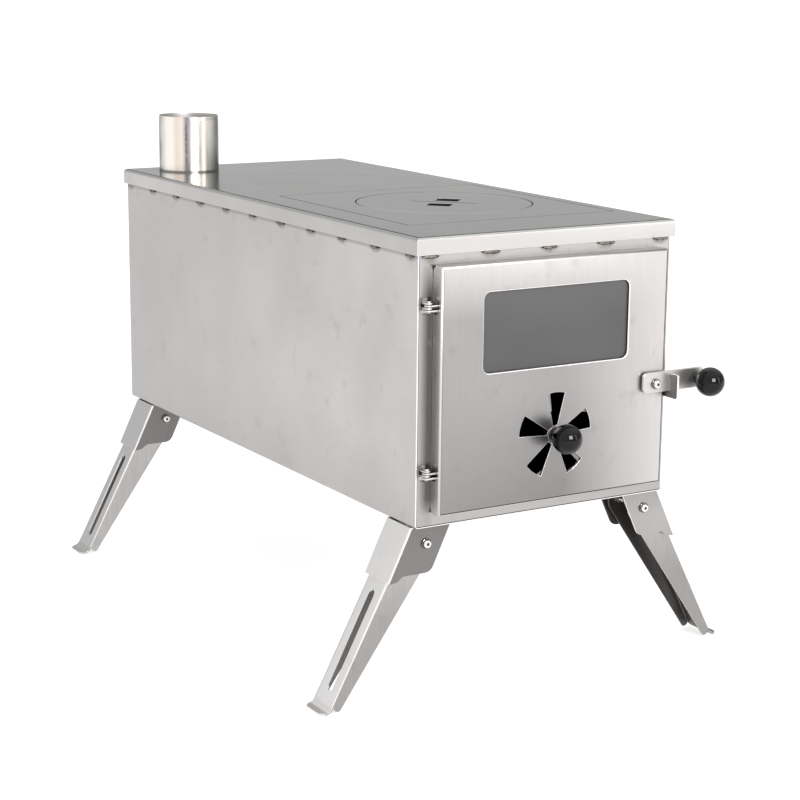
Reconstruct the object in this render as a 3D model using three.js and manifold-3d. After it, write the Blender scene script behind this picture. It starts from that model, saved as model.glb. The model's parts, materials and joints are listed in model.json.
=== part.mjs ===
// A tent wood stove: a stainless firebox on four folding legs, with a glazed
// door, a turning air damper, a gravity latch, a lift-out cooktop lid and a
// flue collar. Millimetres, +Z up, the door faces -Y. The origin is on the
// ground, under the middle of the stove's outer box.
import * as THREE from 'three';
import { mergeVertices } from 'three/addons/utils/BufferGeometryUtils.js';
import Module from 'manifold-3d';

const wasm = await Module();
wasm.setup();

// --- Driving dimensions ---------------------------------------------------

const seat = 0.3;                 // gap left between pieces that touch

// firebox, measured from its front face (y = 0) and its underside (z = 0)
const bodyWidth = 250;
const bodyLength = 568;
const boxHeight = 237;            // underside of the box to the cooking surface
const bodySheet = 1.2;
const bodyBend = 2.5;             // outside radius of the two lower bends
const standHeight = 148;          // ground to the underside of the box

// cap, a shallow tray turned over the box
const capSheet = 2;
const capSideGap = 0.7;           // cap rim to box side
const capFrontGap = 1.1;          // cap rim to box front and back
const capRimHeight = 14.5;
const capBend = 3;

// round cooktop lid and the plate under the cap that carries it
const lidRadius = 78.5;
const lidHoleGap = 1;
const lidOffset = 14.5;           // lid centre to the right of the box centre
const lidFromFront = 184;         // lid centre behind the box front
const lidSeatLedge = 6.5;           // width of the ledge under the lid's edge
const lidSeatOffset = 9;          // middle of that plate, to the right
const lidSeatFromFront = 178;
const lidSeatWidth = 209;
const lidSeatLength = 229;
const lidSeatSheet = 1.5;
const pressLineWidth = 1.2;       // line that the seat plate leaves in the cap
const pressLineDepth = 0.5;
const lidSlotLength = 21;         // two openings for a lifting hook
const lidSlotWidth = 19.5;
const lidBridgeWidth = 17.5;       // metal left between the two openings
const lidCreaseLength = 60;
const lidCreaseWidth = 1.2;
const lidCreaseDepth = 0.6;
const lidSlotAngle = -44;         // degrees, the bridge across the lid
const lidNotchRadius = 2.4;
const lidNotchAngle = 74;

// flue collar
const flueRadius = 30;
const flueSheet = 1;
const flueRise = 55.5;            // above the cooking surface
const flueFromSide = 52.5;        // collar axis from the box's left side
const flueFromBack = 36;
const flueFlangeWidth = 3.5;      // turned-out foot under the cap
const flueFlangeSheet = 1.2;

// front frame
const frameSheet = 1.2;
const frameFlange = 10;           // turned back along the box walls
const frameOverlap = 8;           // door edge past the frame's opening
const frameLip = 6;               // turned back around the opening

// door, a pan that stands proud of the frame
const doorFromLeft = 14;
const doorFromRight = 12;
const doorFromBottom = 12;
const doorFromTop = 23;           // below the cooking surface
const doorDepth = 13.2;
const doorGap = 0.4;              // door rim to frame
const doorSheet = 1.2;
const doorBend = 2;
const doorRimCorner = 5.5;        // rounded ends of the door's rim

// window
const windowWidth = 144;
const windowHeight = 66;
const windowAboveDoorEdge = 113;
const windowCorner = 6;
const glassOverlap = 8;
const glassThickness = 4;
const gasketThickness = 1;
const retainerSheet = 1.2;
const retainerSideMargin = 18;    // retainer past the window, left and right
const retainerEndMargin = 12;     // retainer past the window, above and below
const studRadius = 1.9;
const studFromWindow = 12.5;      // stud axis beside the window
const studSpread = 52;            // height between two studs
const studTail = 0.8;             // stud past its nut
const nutGap = 0.35;              // thread clearance, as a bore over its pin
const smallNutAcross = 7;
const smallNutHeight = 2.2;

// air damper
const fanRadius = 36;
const fanHub = 8;                 // inner radius of the openings
const fanOpenings = 5;
const fanOpeningAngle = 29;
const fanAboveDoorEdge = 54.8;
const damperMargin = 5;           // disc past the openings
const damperSheet = 1.2;
const damperLag = 6.5;            // degrees short of fully open
const spindleRadius = 3;
const spindleHeadAcross = 10;
const spindleHeadHeight = 3.5;
const damperWasherRadius = 7.5;
const washerSheet = 0.8;

// ball knobs
const ballRadius = 12.5;
const ballNeckRadius = 5;
const ballStandoff = 15.5;        // ball centre to the foot of its neck
const knobBoreDepth = 11;

// gravity latch
const latchPivotFromEdge = 12.5;  // pivot inside the door's free edge
const latchPivotHeight = 88.5;    // above the door's lower edge
const latchBarTail = 13;
const latchBarReach = 52;
const latchBarHeight = 17.5;
const latchBarLift = 1.2;         // bar's middle above the pivot
const latchBarSheet = 2.5;
const latchBarCorner = 4.5;
const latchKnobAt = 46;
const latchSpacerThickness = 1.4;
const latchWasherRadius = 4.5;
const latchKnobScrewRadius = 2.5;

// catch for the latch bar, a fork on the frame
const catchFromDoor = 2.5;
const catchSheet = 2;
const catchGap = 1;               // bar to prong
const catchProngDepth = 9.4;
const catchProngRise = 15;        // prong above the bar's lower edge
const catchArmDepth = 5.6;
const catchRootDepth = 8;

// door hinges
const hingeHeights = { upper: 182, lower: 46 };
const hingePinFromDoor = 7.2;     // pin axis to the door's hinge edge
const hingePinProud = 5;          // pin axis in front of the frame
const hingePinRadius = 1.5;
const hingeLugRadius = 3.4;
const hingeLugSheet = 1.5;
const hingeLugPitch = 2;
const hingeSlotGap = 0.4;
const hingeSlotHeight = 13;
const hingeSlotCorner = 3.3;      // rounded ends of the slot, on frame and door
const hingeLeafHeight = 18;
const hingeLeafSheet = 1.2;
const hingePinHeadRadius = 2.7;
const hingePinHeadHeight = 1.4;

// M4 fasteners
const screwRadius = 2;
const screwHeadRadius = 3.6;
const screwHeadHeight = 2.3;
const screwSocketRadius = 1.4;
const screwSocketDepth = 1.3;
const nutAcross = 7;
const nutHeight = 3.2;
const screwTail = 1;              // screw past its nut

// leg brackets, one U channel near each corner
const legRowFront = 25;           // middle of the front legs behind the front
const legRowBack = 34;            // middle of the rear legs before the back
const bracketProud = 0.5;         // bracket's outer face past the box's side
const bracketSplay = 25.2;        // degrees from upright
const bracketWidth = 39;
const bracketDepth = 34.5;        // web's outer face to the flange edge
const bracketWebLength = 49;
const bracketDrop = 40;           // flange's lower edge below the box
const bracketSheet = 1.5;
const bracketCorner = 9;
const bracketRelief = 12.5;       // stepped part of the lower edge by the web

// legs
const pivotInset = 14.5;          // pivot inside the bracket's top outer corner
const pivotDrop = 15;             // pivot below the box
const legWidth = 30;
const legSheet = 1.5;
const legWebOffset = 16.1;        // pivot to the web's outer face
const legHeadRadius = 13;         // rounded head about the pivot
const legWebAbovePivot = 5;
const legTaper = 7.9;             // degrees, flange edge to web
const legFlangeTail = 2;          // flange past the start of the foot's bend
const legEndCorner = 3;
const legSlotWidth = 7.5;
const legSlotFromPivot = 52;
const legSlotFromEnd = 10.5;
const footBend = 8;               // radius of the turned-out foot
const footFlat = 3.5;
const footChamfer = 4;
const legWasherRadius = 4.6;
const shoulderRadius = 3;         // shoulder that holds the leg off its bracket
const pivotClearance = 0.3;

// fire grate and smoke baffle
const grateFromFront = 30;
const grateLength = 360;
const grateSideGap = 6;
const grateHeight = 16;
const grateSheet = 1.5;
const grateRows = 8;
const grateColumns = 2;
const grateSlotWidth = 9;
const grateSlotShare = 0.36;      // slot length as a part of the grate's width
const baffleFromBack = 150;
const baffleFromTop = 48;
const baffleSheet = 1.5;
const baffleLip = 12;

// --- Finishes -------------------------------------------------------------

function finish(color, roughness, metalness) {
  return new THREE.MeshStandardMaterial({ color, roughness, metalness });
}

const panelSteel = finish(0xc9c7c4, 0.34, 1);
const frontSteel = finish(0xd6d2cf, 0.34, 1);
const topSteel = finish(0x9a9c98, 0.3, 1);
const brightSteel = finish(0xdedcd8, 0.18, 1);
const innerSteel = finish(0x8b8883, 0.5, 1);
const blackResin = finish(0x111112, 0.12, 0);
const smokedGlass = finish(0x7a7776, 0.06, 0);
const gasketFibre = finish(0xcfc9bb, 0.95, 0);

// --- Shape helpers --------------------------------------------------------

const radians = THREE.MathUtils.degToRad;

function toSolid(geometry) {
  geometry.deleteAttribute('normal');
  geometry.deleteAttribute('uv');
  const merged = mergeVertices(geometry, 1e-4);
  const vertProperties = new Float32Array(merged.attributes.position.array);
  const triVerts = new Uint32Array(merged.index.array);
  return new wasm.Manifold(new wasm.Mesh({ numProp: 3, vertProperties, triVerts }));
}

function toGeometry(solid) {
  const { vertProperties, triVerts } = solid.getMesh();
  const geometry = new THREE.BufferGeometry();
  geometry.setAttribute('position', new THREE.BufferAttribute(vertProperties, 3));
  geometry.setIndex(new THREE.BufferAttribute(triVerts, 1));
  geometry.computeVertexNormals();
  return geometry;
}

function join(...solids) {
  return solids.reduce((whole, next) => whole.add(next));
}

function cut(base, ...tools) {
  return tools.reduce((left, tool) => left.subtract(tool), base);
}

function block(x0, x1, y0, y1, z0, z1) {
  const geometry = new THREE.BoxGeometry(x1 - x0, y1 - y0, z1 - z0);
  geometry.translate((x0 + x1) / 2, (y0 + y1) / 2, (z0 + z1) / 2);
  return toSolid(geometry);
}

function rodAlongY(x, z, radius, y0, y1, sides = 16) {
  const geometry = new THREE.CylinderGeometry(radius, radius, y1 - y0, sides);
  geometry.translate(x, (y0 + y1) / 2, z);
  return toSolid(geometry);
}

function rodAlongZ(x, y, radius, z0, z1, sides = 16) {
  const geometry = new THREE.CylinderGeometry(radius, radius, z1 - z0, sides);
  geometry.rotateX(Math.PI / 2);
  geometry.translate(x, y, (z0 + z1) / 2);
  return toSolid(geometry);
}

// A closed outline from corners given as [across, up, rounding radius].
function outline(corners) {
  const shape = new THREE.Shape();
  corners.forEach(([x, y, radius = 0], index) => {
    const corner = new THREE.Vector2(x, y);
    const before = new THREE.Vector2(...corners.at(index - 1).slice(0, 2)).sub(corner).normalize();
    const next = corners[(index + 1) % corners.length];
    const after = new THREE.Vector2(...next.slice(0, 2)).sub(corner).normalize();
    const halfAngle = Math.acos(THREE.MathUtils.clamp(before.dot(after), -1, 1)) / 2;
    const reach = radius / Math.tan(halfAngle);
    const start = corner.clone().addScaledVector(before, reach);
    if (index === 0) shape.moveTo(start.x, start.y);
    else shape.lineTo(start.x, start.y);
    if (radius === 0) return;
    const end = corner.clone().addScaledVector(after, reach);
    const middle = before.clone().add(after).normalize();
    const centre = corner.clone().addScaledVector(middle, radius / Math.sin(halfAngle));
    const startAngle = start.sub(centre).angle();
    const endAngle = end.sub(centre).angle();
    shape.absarc(centre.x, centre.y, radius, startAngle, endAngle, before.cross(after) > 0);
  });
  shape.closePath();
  return shape;
}

function roundedRectangle(x0, x1, y0, y1, radius) {
  return outline([[x0, y0, radius], [x1, y0, radius], [x1, y1, radius], [x0, y1, radius]]);
}

function extrude(shape, length, curveSegments) {
  return new THREE.ExtrudeGeometry(shape, { depth: length, bevelEnabled: false, curveSegments });
}

// A block from z0 up to z1 with the edges of its top and bottom rounded.
function roundEdgedBlock(x0, x1, y0, y1, z0, z1, bend) {
  const flat = outline([[x0 + bend, y0 + bend], [x1 - bend, y0 + bend],
    [x1 - bend, y1 - bend], [x0 + bend, y1 - bend]]);
  return new THREE.ExtrudeGeometry(flat, {
    depth: z1 - z0 - 2 * bend,
    bevelThickness: bend,
    bevelSize: bend,
    bevelSegments: 3,
  }).translate(0, 0, z0 + bend);
}

// An outline in x and y, from z0 up to z1.
function plateAcrossZ(shape, z0, z1, curveSegments = 2) {
  return toSolid(extrude(shape, z1 - z0, curveSegments).translate(0, 0, z0));
}

// An outline in x and z, from y0 back to y1.
function plateAcrossY(shape, y0, y1, curveSegments = 2) {
  return toSolid(extrude(shape, y1 - y0, curveSegments).rotateX(Math.PI / 2).translate(0, y1, 0));
}

// An outline in y and z, from x0 across to x1.
function plateAcrossX(shape, x0, x1, curveSegments = 2) {
  const turn = new THREE.Matrix4().makeBasis(
    new THREE.Vector3(0, 1, 0), new THREE.Vector3(0, 0, 1), new THREE.Vector3(1, 0, 0));
  return toSolid(extrude(shape, x1 - x0, curveSegments).applyMatrix4(turn).translate(x0, 0, 0));
}

// A profile of [radius, height] turned about the z axis.
function turned(profile, sides) {
  const points = profile.map(([radius, height]) => new THREE.Vector2(radius, height));
  return toSolid(new THREE.LatheGeometry(points, sides).rotateX(Math.PI / 2));
}

function piece(name, solid, material) {
  const mesh = new THREE.Mesh(toGeometry(solid), material);
  mesh.name = name;
  return mesh;
}

// --- Places worked out from the dimensions --------------------------------

const sideX = bodyWidth / 2;
const innerX = sideX - bodySheet;
const capTop = boxHeight;
const capUnder = boxHeight - capSheet;
const wrapTop = capUnder - seat;
const capReachX = sideX + capSideGap + capSheet;
const capReachY = capFrontGap + capSheet;

const door = {
  left: -sideX + doorFromLeft,
  right: sideX - doorFromRight,
  bottom: doorFromBottom,
  top: boxHeight - doorFromTop,
  rim: -doorGap,
  front: -doorGap - doorDepth,
};
door.centre = (door.left + door.right) / 2;
door.inside = door.front + doorSheet;

const windowFrame = {
  left: door.centre - windowWidth / 2,
  right: door.centre + windowWidth / 2,
  bottom: door.bottom + windowAboveDoorEdge,
  top: door.bottom + windowAboveDoorEdge + windowHeight,
};
windowFrame.middle = (windowFrame.bottom + windowFrame.top) / 2;
const gasketY = door.inside + seat;
const glassY = gasketY + gasketThickness + seat;
const retainerY = glassY + glassThickness + seat;
const studNutY = retainerY + retainerSheet + seat;

const fanX = door.centre;
const fanZ = door.bottom + fanAboveDoorEdge;

const latchX = door.right - latchPivotFromEdge;
const latchZ = door.bottom + latchPivotHeight;
const latchBarBack = door.front - 2 * seat - latchSpacerThickness;
const latchBarFront = latchBarBack - latchBarSheet;
const latchBarBottom = latchZ + latchBarLift - latchBarHeight / 2;

const hingeX = door.left - hingePinFromDoor;
const hingeY = -hingePinProud;

const lidX = lidOffset;
const lidY = lidFromFront;
const lidSeat = {
  left: lidSeatOffset - lidSeatWidth / 2,
  right: lidSeatOffset + lidSeatWidth / 2,
  near: lidSeatFromFront - lidSeatLength / 2,
  far: lidSeatFromFront + lidSeatLength / 2,
};
const flueX = -sideX + flueFromSide;
const flueY = bodyLength - flueFromBack;

// --- Firebox --------------------------------------------------------------

// One sheet folded up into the floor and both sides.
function bodyWrap() {
  const outer = outline([
    [-sideX, 0, bodyBend], [sideX, 0, bodyBend], [sideX, wrapTop], [-sideX, wrapTop]]);
  const innerBend = bodyBend - bodySheet;
  const inner = outline([
    [-innerX, bodySheet, innerBend], [innerX, bodySheet, innerBend],
    [innerX, wrapTop + 1], [-innerX, wrapTop + 1]]);
  return cut(
    plateAcrossY(outer, 0, bodyLength), plateAcrossY(inner, -1, bodyLength + 1));
}

// What fits inside the wrap, with the wrap's bends at its lower corners.
function wrapFilling(inset, y0, y1) {
  const x = innerX - inset;
  const bend = Math.max(bodyBend - bodySheet - inset, 0.4);
  const shape = outline([
    [-x, bodySheet + inset, bend], [x, bodySheet + inset, bend], [x, wrapTop], [-x, wrapTop]]);
  return plateAcrossY(shape, y0, y1);
}

function backPanel() {
  return wrapFilling(seat, bodyLength - bodySheet, bodyLength);
}

function frameOpening(margin) {
  return roundedRectangle(
    door.left + frameOverlap - margin, door.right - frameOverlap + margin,
    door.bottom + frameOverlap - margin, door.top - frameOverlap + margin, 3);
}

// The end of a slot that the hinge's lugs stand in, rounded on its far side.
function hingeSlot(rounded, straight, height) {
  const low = height - hingeSlotHeight / 2;
  const high = height + hingeSlotHeight / 2;
  return outline([[rounded, low, hingeSlotCorner], [straight, low], [straight, high],
    [rounded, high, hingeSlotCorner]]);
}

// The front of the box: a pan turned back along the walls, with a lipped
// opening behind the door and a slot for the lugs of each hinge.
function frontFrame() {
  const flanged = cut(
    wrapFilling(seat, 0, frameFlange),
    block(-innerX + seat + frameSheet, innerX - seat - frameSheet, frameSheet, frameFlange + 1,
      bodySheet + seat + frameSheet, wrapTop - frameSheet));
  const lip = plateAcrossY(frameOpening(frameSheet), frameSheet / 2, frameSheet + frameLip);
  const hinges = Object.values(hingeHeights).map((height) => plateAcrossY(
    hingeSlot(hingeX - hingeLugRadius - hingeSlotGap,
      hingeX + hingeLugRadius + hingeSlotGap, height), -1, frameSheet + 0.5));
  const opening = plateAcrossY(frameOpening(0), -1, frameSheet + frameLip + 1);
  return cut(join(flanged, lip), opening, ...hinges);
}

function capBlock(inset) {
  const rimBottom = capTop - capRimHeight;
  const blank = roundEdgedBlock(-capReachX + inset, capReachX - inset,
    -capReachY + inset, bodyLength + capReachY - inset,
    rimBottom - capBend, capTop - inset, capBend - inset);
  return toSolid(blank);
}

// The cap: a tray with rounded edges, holes for the lid and the flue collar,
// and the fine pressed line around the plate that is welded under it.
function topPlate() {
  const below = block(
    -bodyWidth, bodyWidth, -bodyLength, 2 * bodyLength, 0, capTop - capRimHeight);
  const { left, right, near, far } = lidSeat;
  const line = cut(
    block(left, right, near, far, capTop - pressLineDepth, capTop + 1),
    block(left + pressLineWidth, right - pressLineWidth, near + pressLineWidth,
      far - pressLineWidth, capTop - 2 * pressLineDepth, capTop + 2));
  return cut(capBlock(0), below, capBlock(capSheet), line,
    rodAlongZ(lidX, lidY, lidRadius + lidHoleGap, capUnder - 1, capTop + 1, 64),
    rodAlongZ(flueX, flueY, flueRadius + seat, capUnder - 1, capTop + 1, 40));
}

// Welded under the cap; its hole is smaller than the lid, which rests on it.
function lidSeatPlate() {
  const top = capUnder - seat;
  const { left, right, near, far } = lidSeat;
  const plate = block(left, right, near, far, top - lidSeatSheet, top);
  return cut(plate,
    rodAlongZ(lidX, lidY, lidRadius - lidSeatLedge, top - lidSeatSheet - 1, top + 1, 64));
}

// The lid drops into the cap's hole until it is flush. Two openings leave a
// bridge for a lifting hook, and a crease stiffens the bridge.
function cooktopLid() {
  const disc = rodAlongZ(0, 0, lidRadius, capUnder, capTop, 64);
  const openings = [-1, 1].map((side) => {
    const near = side * lidBridgeWidth / 2;
    const far = side * (lidBridgeWidth / 2 + lidSlotWidth);
    const shape = roundedRectangle(
      -lidSlotLength / 2, lidSlotLength / 2, Math.min(near, far), Math.max(near, far), 1.5);
    return plateAcrossZ(shape, capUnder - 1, capTop + 1);
  });
  const crease = block(-lidCreaseLength / 2, lidCreaseLength / 2,
    -lidCreaseWidth / 2, lidCreaseWidth / 2, capTop - lidCreaseDepth, capTop + 1);
  const notch = rodAlongZ(
    lidRadius * Math.cos(radians(lidNotchAngle - lidSlotAngle)),
    lidRadius * Math.sin(radians(lidNotchAngle - lidSlotAngle)),
    lidNotchRadius, capUnder - 1, capTop + 1, 12);
  return cut(disc, ...openings, crease, notch);
}

// A tube through the cap, with its foot turned out below the sheet.
function flueCollar() {
  const foot = capUnder - seat;
  const bore = flueRadius - flueSheet;
  return turned([
    [bore, foot - flueFlangeSheet], [flueRadius + flueFlangeWidth, foot - flueFlangeSheet],
    [flueRadius + flueFlangeWidth, foot], [flueRadius, foot],
    [flueRadius, capTop + flueRise], [bore, capTop + flueRise],
    [bore, foot - flueFlangeSheet]], 40);
}

// --- Inside the firebox ---------------------------------------------------

// A slotted plate on two turned-down sides, standing on the floor.
function fireGrate() {
  const halfWidth = innerX - grateSideGap;
  const floor = bodySheet + seat;
  const top = floor + grateHeight;
  const y0 = grateFromFront;
  const y1 = grateFromFront + grateLength;
  const channel = cut(
    block(-halfWidth, halfWidth, y0, y1, floor, top),
    block(-halfWidth + grateSheet, halfWidth - grateSheet, y0 - 1, y1 + 1, floor - 1,
      top - grateSheet));
  const slotLength = 2 * halfWidth * grateSlotShare;
  const slots = [];
  for (let column = 0; column < grateColumns; column += 1) {
    const x = 2 * halfWidth * ((column + 0.5) / grateColumns - 0.5);
    for (let row = 0; row < grateRows; row += 1) {
      const y = y0 + grateLength * (row + 0.5) / grateRows;
      slots.push(block(x - slotLength / 2, x + slotLength / 2,
        y - grateSlotWidth / 2, y + grateSlotWidth / 2, top - grateSheet - 1, top + 1));
    }
  }
  return cut(channel, ...slots);
}

// A shelf between the walls that keeps the flames from the flue.
function smokeBaffle() {
  const halfWidth = innerX - seat;
  const z = boxHeight - baffleFromTop;
  const y1 = bodyLength - bodySheet - seat;
  const y0 = y1 - baffleFromBack;
  return join(
    block(-halfWidth, halfWidth, y0, y1, z, z + baffleSheet),
    block(-halfWidth, halfWidth, y0, y0 + baffleSheet, z - baffleLip, z + baffleSheet / 2));
}

// --- Door -----------------------------------------------------------------

function doorRim(x0, x1, z0, z1) {
  const side = [[door.front, z0], [door.rim, z0, doorRimCorner], [door.rim, z1, doorRimCorner],
    [door.front, z1]];
  const end = [[x0, door.front], [x1, door.front], [x1, door.rim, doorRimCorner],
    [x0, door.rim, doorRimCorner]];
  return join(
    plateAcrossX(outline(side), x0, x0 + doorSheet),
    plateAcrossX(outline(side), x1 - doorSheet, x1),
    plateAcrossZ(outline(end), z0, z0 + doorSheet),
    plateAcrossZ(outline(end), z1 - doorSheet, z1));
}

// One opening of the fan, or of the disc behind it: a slice of a ring.
function fanOpening(angle, y0, y1) {
  const half = radians(fanOpeningAngle / 2);
  const shape = new THREE.Shape();
  shape.absarc(0, 0, fanRadius, radians(angle) - half, radians(angle) + half, false);
  shape.absarc(0, 0, fanHub, radians(angle) + half, radians(angle) - half, true);
  shape.closePath();
  return plateAcrossY(shape, y0, y1, 3);
}

function fanOpeningAngles() {
  return Array.from({ length: fanOpenings }, (_, index) => 90 + index * 360 / fanOpenings);
}

function studPlaces() {
  const across = windowWidth / 2 + studFromWindow;
  const up = studSpread / 2;
  return [[-across, -up], [across, -up], [across, up], [-across, up]].map(
    ([x, z]) => [door.centre + x, windowFrame.middle + z]);
}

// A pan with a window, the damper's openings, weld studs for the window's
// retainer, a hole for the latch and a slot in its rim at each hinge.
function doorPanel() {
  const { left, right, bottom, top, front, inside } = door;
  const face = block(left, right, front, inside, bottom, top);
  const studs = studPlaces().map(([x, z]) => rodAlongY(
    x, z, studRadius, inside - doorSheet / 2, studNutY + smallNutHeight + studTail, 10));
  const bends = toSolid(roundEdgedBlock(left, right, bottom, top, 0, 4 * doorDepth, doorBend)
    .translate(0, 0, -door.front - 4 * doorDepth).rotateX(Math.PI / 2));
  const pan = join(face, doorRim(left, right, bottom, top), ...studs).intersect(bends);
  const glazed = roundedRectangle(
    windowFrame.left, windowFrame.right, windowFrame.bottom, windowFrame.top, windowCorner);
  const fan = fanOpeningAngles().map((angle) => fanOpening(angle, front - 1, inside + 1)
    .translate([fanX, 0, fanZ]));
  const lugSlots = Object.values(hingeHeights).map((height) => plateAcrossX(
    hingeSlot(hingeY - hingeLugRadius - hingeSlotGap,
      hingeY + hingeLugRadius + hingeSlotGap, height), left - 1, left + doorSheet + 0.5));
  return cut(pan,
    plateAcrossY(glazed, front - 1, inside + 1, 3),
    ...fan,
    rodAlongY(fanX, fanZ, spindleRadius + pivotClearance, front - 1, inside + 1),
    rodAlongY(latchX, latchZ, screwRadius + pivotClearance, front - 1, inside + 1, 12),
    ...lugSlots);
}

function windowPlate(marginX, marginZ, y0, y1, corner) {
  return plateAcrossY(roundedRectangle(
    windowFrame.left - marginX, windowFrame.right + marginX,
    windowFrame.bottom - marginZ, windowFrame.top + marginZ, corner), y0, y1, 2);
}

function windowGasket() {
  const y1 = gasketY + gasketThickness;
  return cut(
    windowPlate(glassOverlap, glassOverlap, gasketY, y1, 3),
    windowPlate(0, 0, gasketY - 1, y1 + 1, windowCorner));
}

function windowGlass() {
  return windowPlate(glassOverlap, glassOverlap, glassY, glassY + glassThickness, 3);
}

function windowRetainer() {
  const y1 = retainerY + retainerSheet;
  const holes = studPlaces().map(([x, z]) => rodAlongY(
    x, z, studRadius + nutGap, retainerY - 1, y1 + 1, 12));
  return cut(
    windowPlate(retainerSideMargin, retainerEndMargin, retainerY, y1, 4),
    windowPlate(0, 0, retainerY - 1, y1 + 1, windowCorner), ...holes);
}

// --- Damper, knobs and latch ----------------------------------------------

function damperDisc() {
  const y0 = door.inside + seat;
  const y1 = y0 + damperSheet;
  const openings = fanOpeningAngles().map(
    (angle) => fanOpening(angle - damperLag, y0 - 1, y1 + 1));
  return cut(
    rodAlongY(0, 0, fanRadius + damperMargin, y0, y1, 48), ...openings,
    rodAlongY(0, 0, spindleRadius + nutGap, y0 - 1, y1 + 1));
}

// A ball with a neck, bored for its screw; the ball's centre is the origin
// and the neck points back along +Y.
function ballKnob(boreRadius) {
  const steps = 8;
  const neckAngle = Math.asin(ballNeckRadius / ballRadius);
  const profile = [];
  for (let step = 0; step <= steps; step += 1) {
    const angle = Math.PI - (Math.PI - neckAngle) * step / steps;
    profile.push([ballRadius * Math.sin(angle), ballRadius * Math.cos(angle)]);
  }
  profile[0][0] = 0;
  const boreEnd = ballStandoff - knobBoreDepth;
  profile.push([ballNeckRadius, ballStandoff], [boreRadius, ballStandoff],
    [boreRadius, boreEnd], [0, boreEnd]);
  return turned(profile, 20).rotate([-90, 0, 0]);
}

// A hexagon with a shank; the head's seat is at y = 0 and the shank runs
// towards -Y.
function hexBolt(across, headHeight, radius, length) {
  const corner = across / Math.sqrt(3);
  return join(
    rodAlongY(0, 0, corner, 0, headHeight, 6), rodAlongY(0, 0, radius, -length, 0.5, 14));
}

function washer(outerRadius, holeRadius, y0, y1) {
  return cut(
    rodAlongY(0, 0, outerRadius, y0, y1, 20), rodAlongY(0, 0, holeRadius, y0 - 1, y1 + 1, 14));
}

function nut(across, height, boltRadius) {
  const corner = across / Math.sqrt(3);
  return cut(
    rodAlongY(0, 0, corner, 0, height, 6),
    rodAlongY(0, 0, boltRadius + nutGap, -1, height + 1, 12));
}

// A domed socket screw: its seat is at y = 0 and the shank runs along +Y.
function domedScrew(length) {
  const dome = turned([
    [0, -screwHeadHeight], [screwHeadRadius * 0.62, -screwHeadHeight],
    [screwHeadRadius * 0.92, -screwHeadHeight * 0.55], [screwHeadRadius, 0],
    [0, 0]], 14).rotate([-90, 0, 0]);
  const socket = rodAlongY(
    0, 0, screwSocketRadius, -screwHeadHeight - 1, -screwHeadHeight + screwSocketDepth, 6);
  return join(cut(dome, socket), rodAlongY(0, 0, screwRadius, -0.5, length, 10));
}

// The same screw with a washer face under its head and a shoulder, which
// keeps the leg clear of the bracket's flange.
function shoulderScrew(length, shoulderLength) {
  return join(
    domedScrew(length).translate([0, -washerSheet, 0]),
    rodAlongY(0, 0, legWasherRadius, -washerSheet - 0.1, 0, 18),
    rodAlongY(0, 0, shoulderRadius, -0.5, shoulderLength, 12));
}

function latchArm() {
  const shape = roundedRectangle(-latchBarTail, latchBarReach,
    latchBarLift - latchBarHeight / 2, latchBarLift + latchBarHeight / 2, latchBarCorner);
  return cut(
    plateAcrossY(shape, latchBarFront, latchBarBack),
    rodAlongY(0, 0, screwRadius + pivotClearance, latchBarFront - 1, latchBarBack + 1, 14),
    rodAlongY(latchKnobAt, 0, latchKnobScrewRadius + nutGap,
      latchBarFront - 1, latchBarBack + 1, 14));
}

// A fork in the plane of the door's free edge: the latch bar drops between
// its prong and its root.
function latchCatch() {
  const x0 = door.right + catchFromDoor;
  const floor = latchBarBottom - seat;
  const prongBack = latchBarFront - catchGap;
  const prongFront = prongBack - catchProngDepth;
  const top = latchBarBottom + catchProngRise;
  const rootFront = -seat - catchRootDepth;
  const fork = outline([
    [-seat, floor - catchArmDepth], [-seat, top - 2, 1], [rootFront, top - 2, 2],
    [rootFront, floor, 1.5], [prongBack, floor, 1.5], [prongBack, top, 1],
    [prongFront, top, 1.5], [prongFront, floor - catchArmDepth, 3]].reverse());
  return plateAcrossX(fork, x0, x0 + catchSheet);
}

// --- Hinges ---------------------------------------------------------------

// Lugs around the pin's axis, which is the local origin, joined to a leaf.
function hingeLug(height, towards) {
  const z0 = height - hingeLugSheet / 2;
  const z1 = height + hingeLugSheet / 2;
  const root = 2 * hingePinFromDoor;
  const shank = towards === 'door'
    ? block(0, root, -hingeLugRadius, hingeLugRadius, z0, z1)
    : block(-hingeLugRadius, hingeLugRadius, 0, root, z0, z1);
  return cut(
    join(rodAlongZ(0, 0, hingeLugRadius, z0, z1, 12), shank),
    rodAlongZ(0, 0, hingePinRadius + pivotClearance, z0 - 1, z1 + 1, 10));
}

function hingeLeafOnFrame() {
  const y0 = frameSheet + seat - hingeY;
  const y1 = y0 + hingeLeafSheet;
  const leaf = block(-hingeLugRadius, hingeLugRadius, y0, y1,
    -hingeLeafHeight / 2, hingeLeafHeight / 2);
  const trim = block(-bodyWidth, bodyWidth, y1, bodyWidth, -boxHeight, boxHeight);
  const lugs = [1.5, -0.5].map((place) => hingeLug(place * hingeLugPitch, 'frame'));
  return cut(join(leaf, ...lugs), trim);
}

function hingeLeafOnDoor() {
  const x0 = hingePinFromDoor + doorSheet + seat;
  const x1 = x0 + hingeLeafSheet;
  const leaf = block(x0, x1, -hingeLugRadius, hingeLugRadius,
    -hingeLeafHeight / 2, hingeLeafHeight / 2);
  const trim = block(x1, bodyWidth, -bodyWidth, bodyWidth, -boxHeight, boxHeight);
  const lugs = [0.5, -1.5].map((place) => hingeLug(place * hingeLugPitch, 'door'));
  return cut(join(leaf, ...lugs), trim);
}

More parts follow.
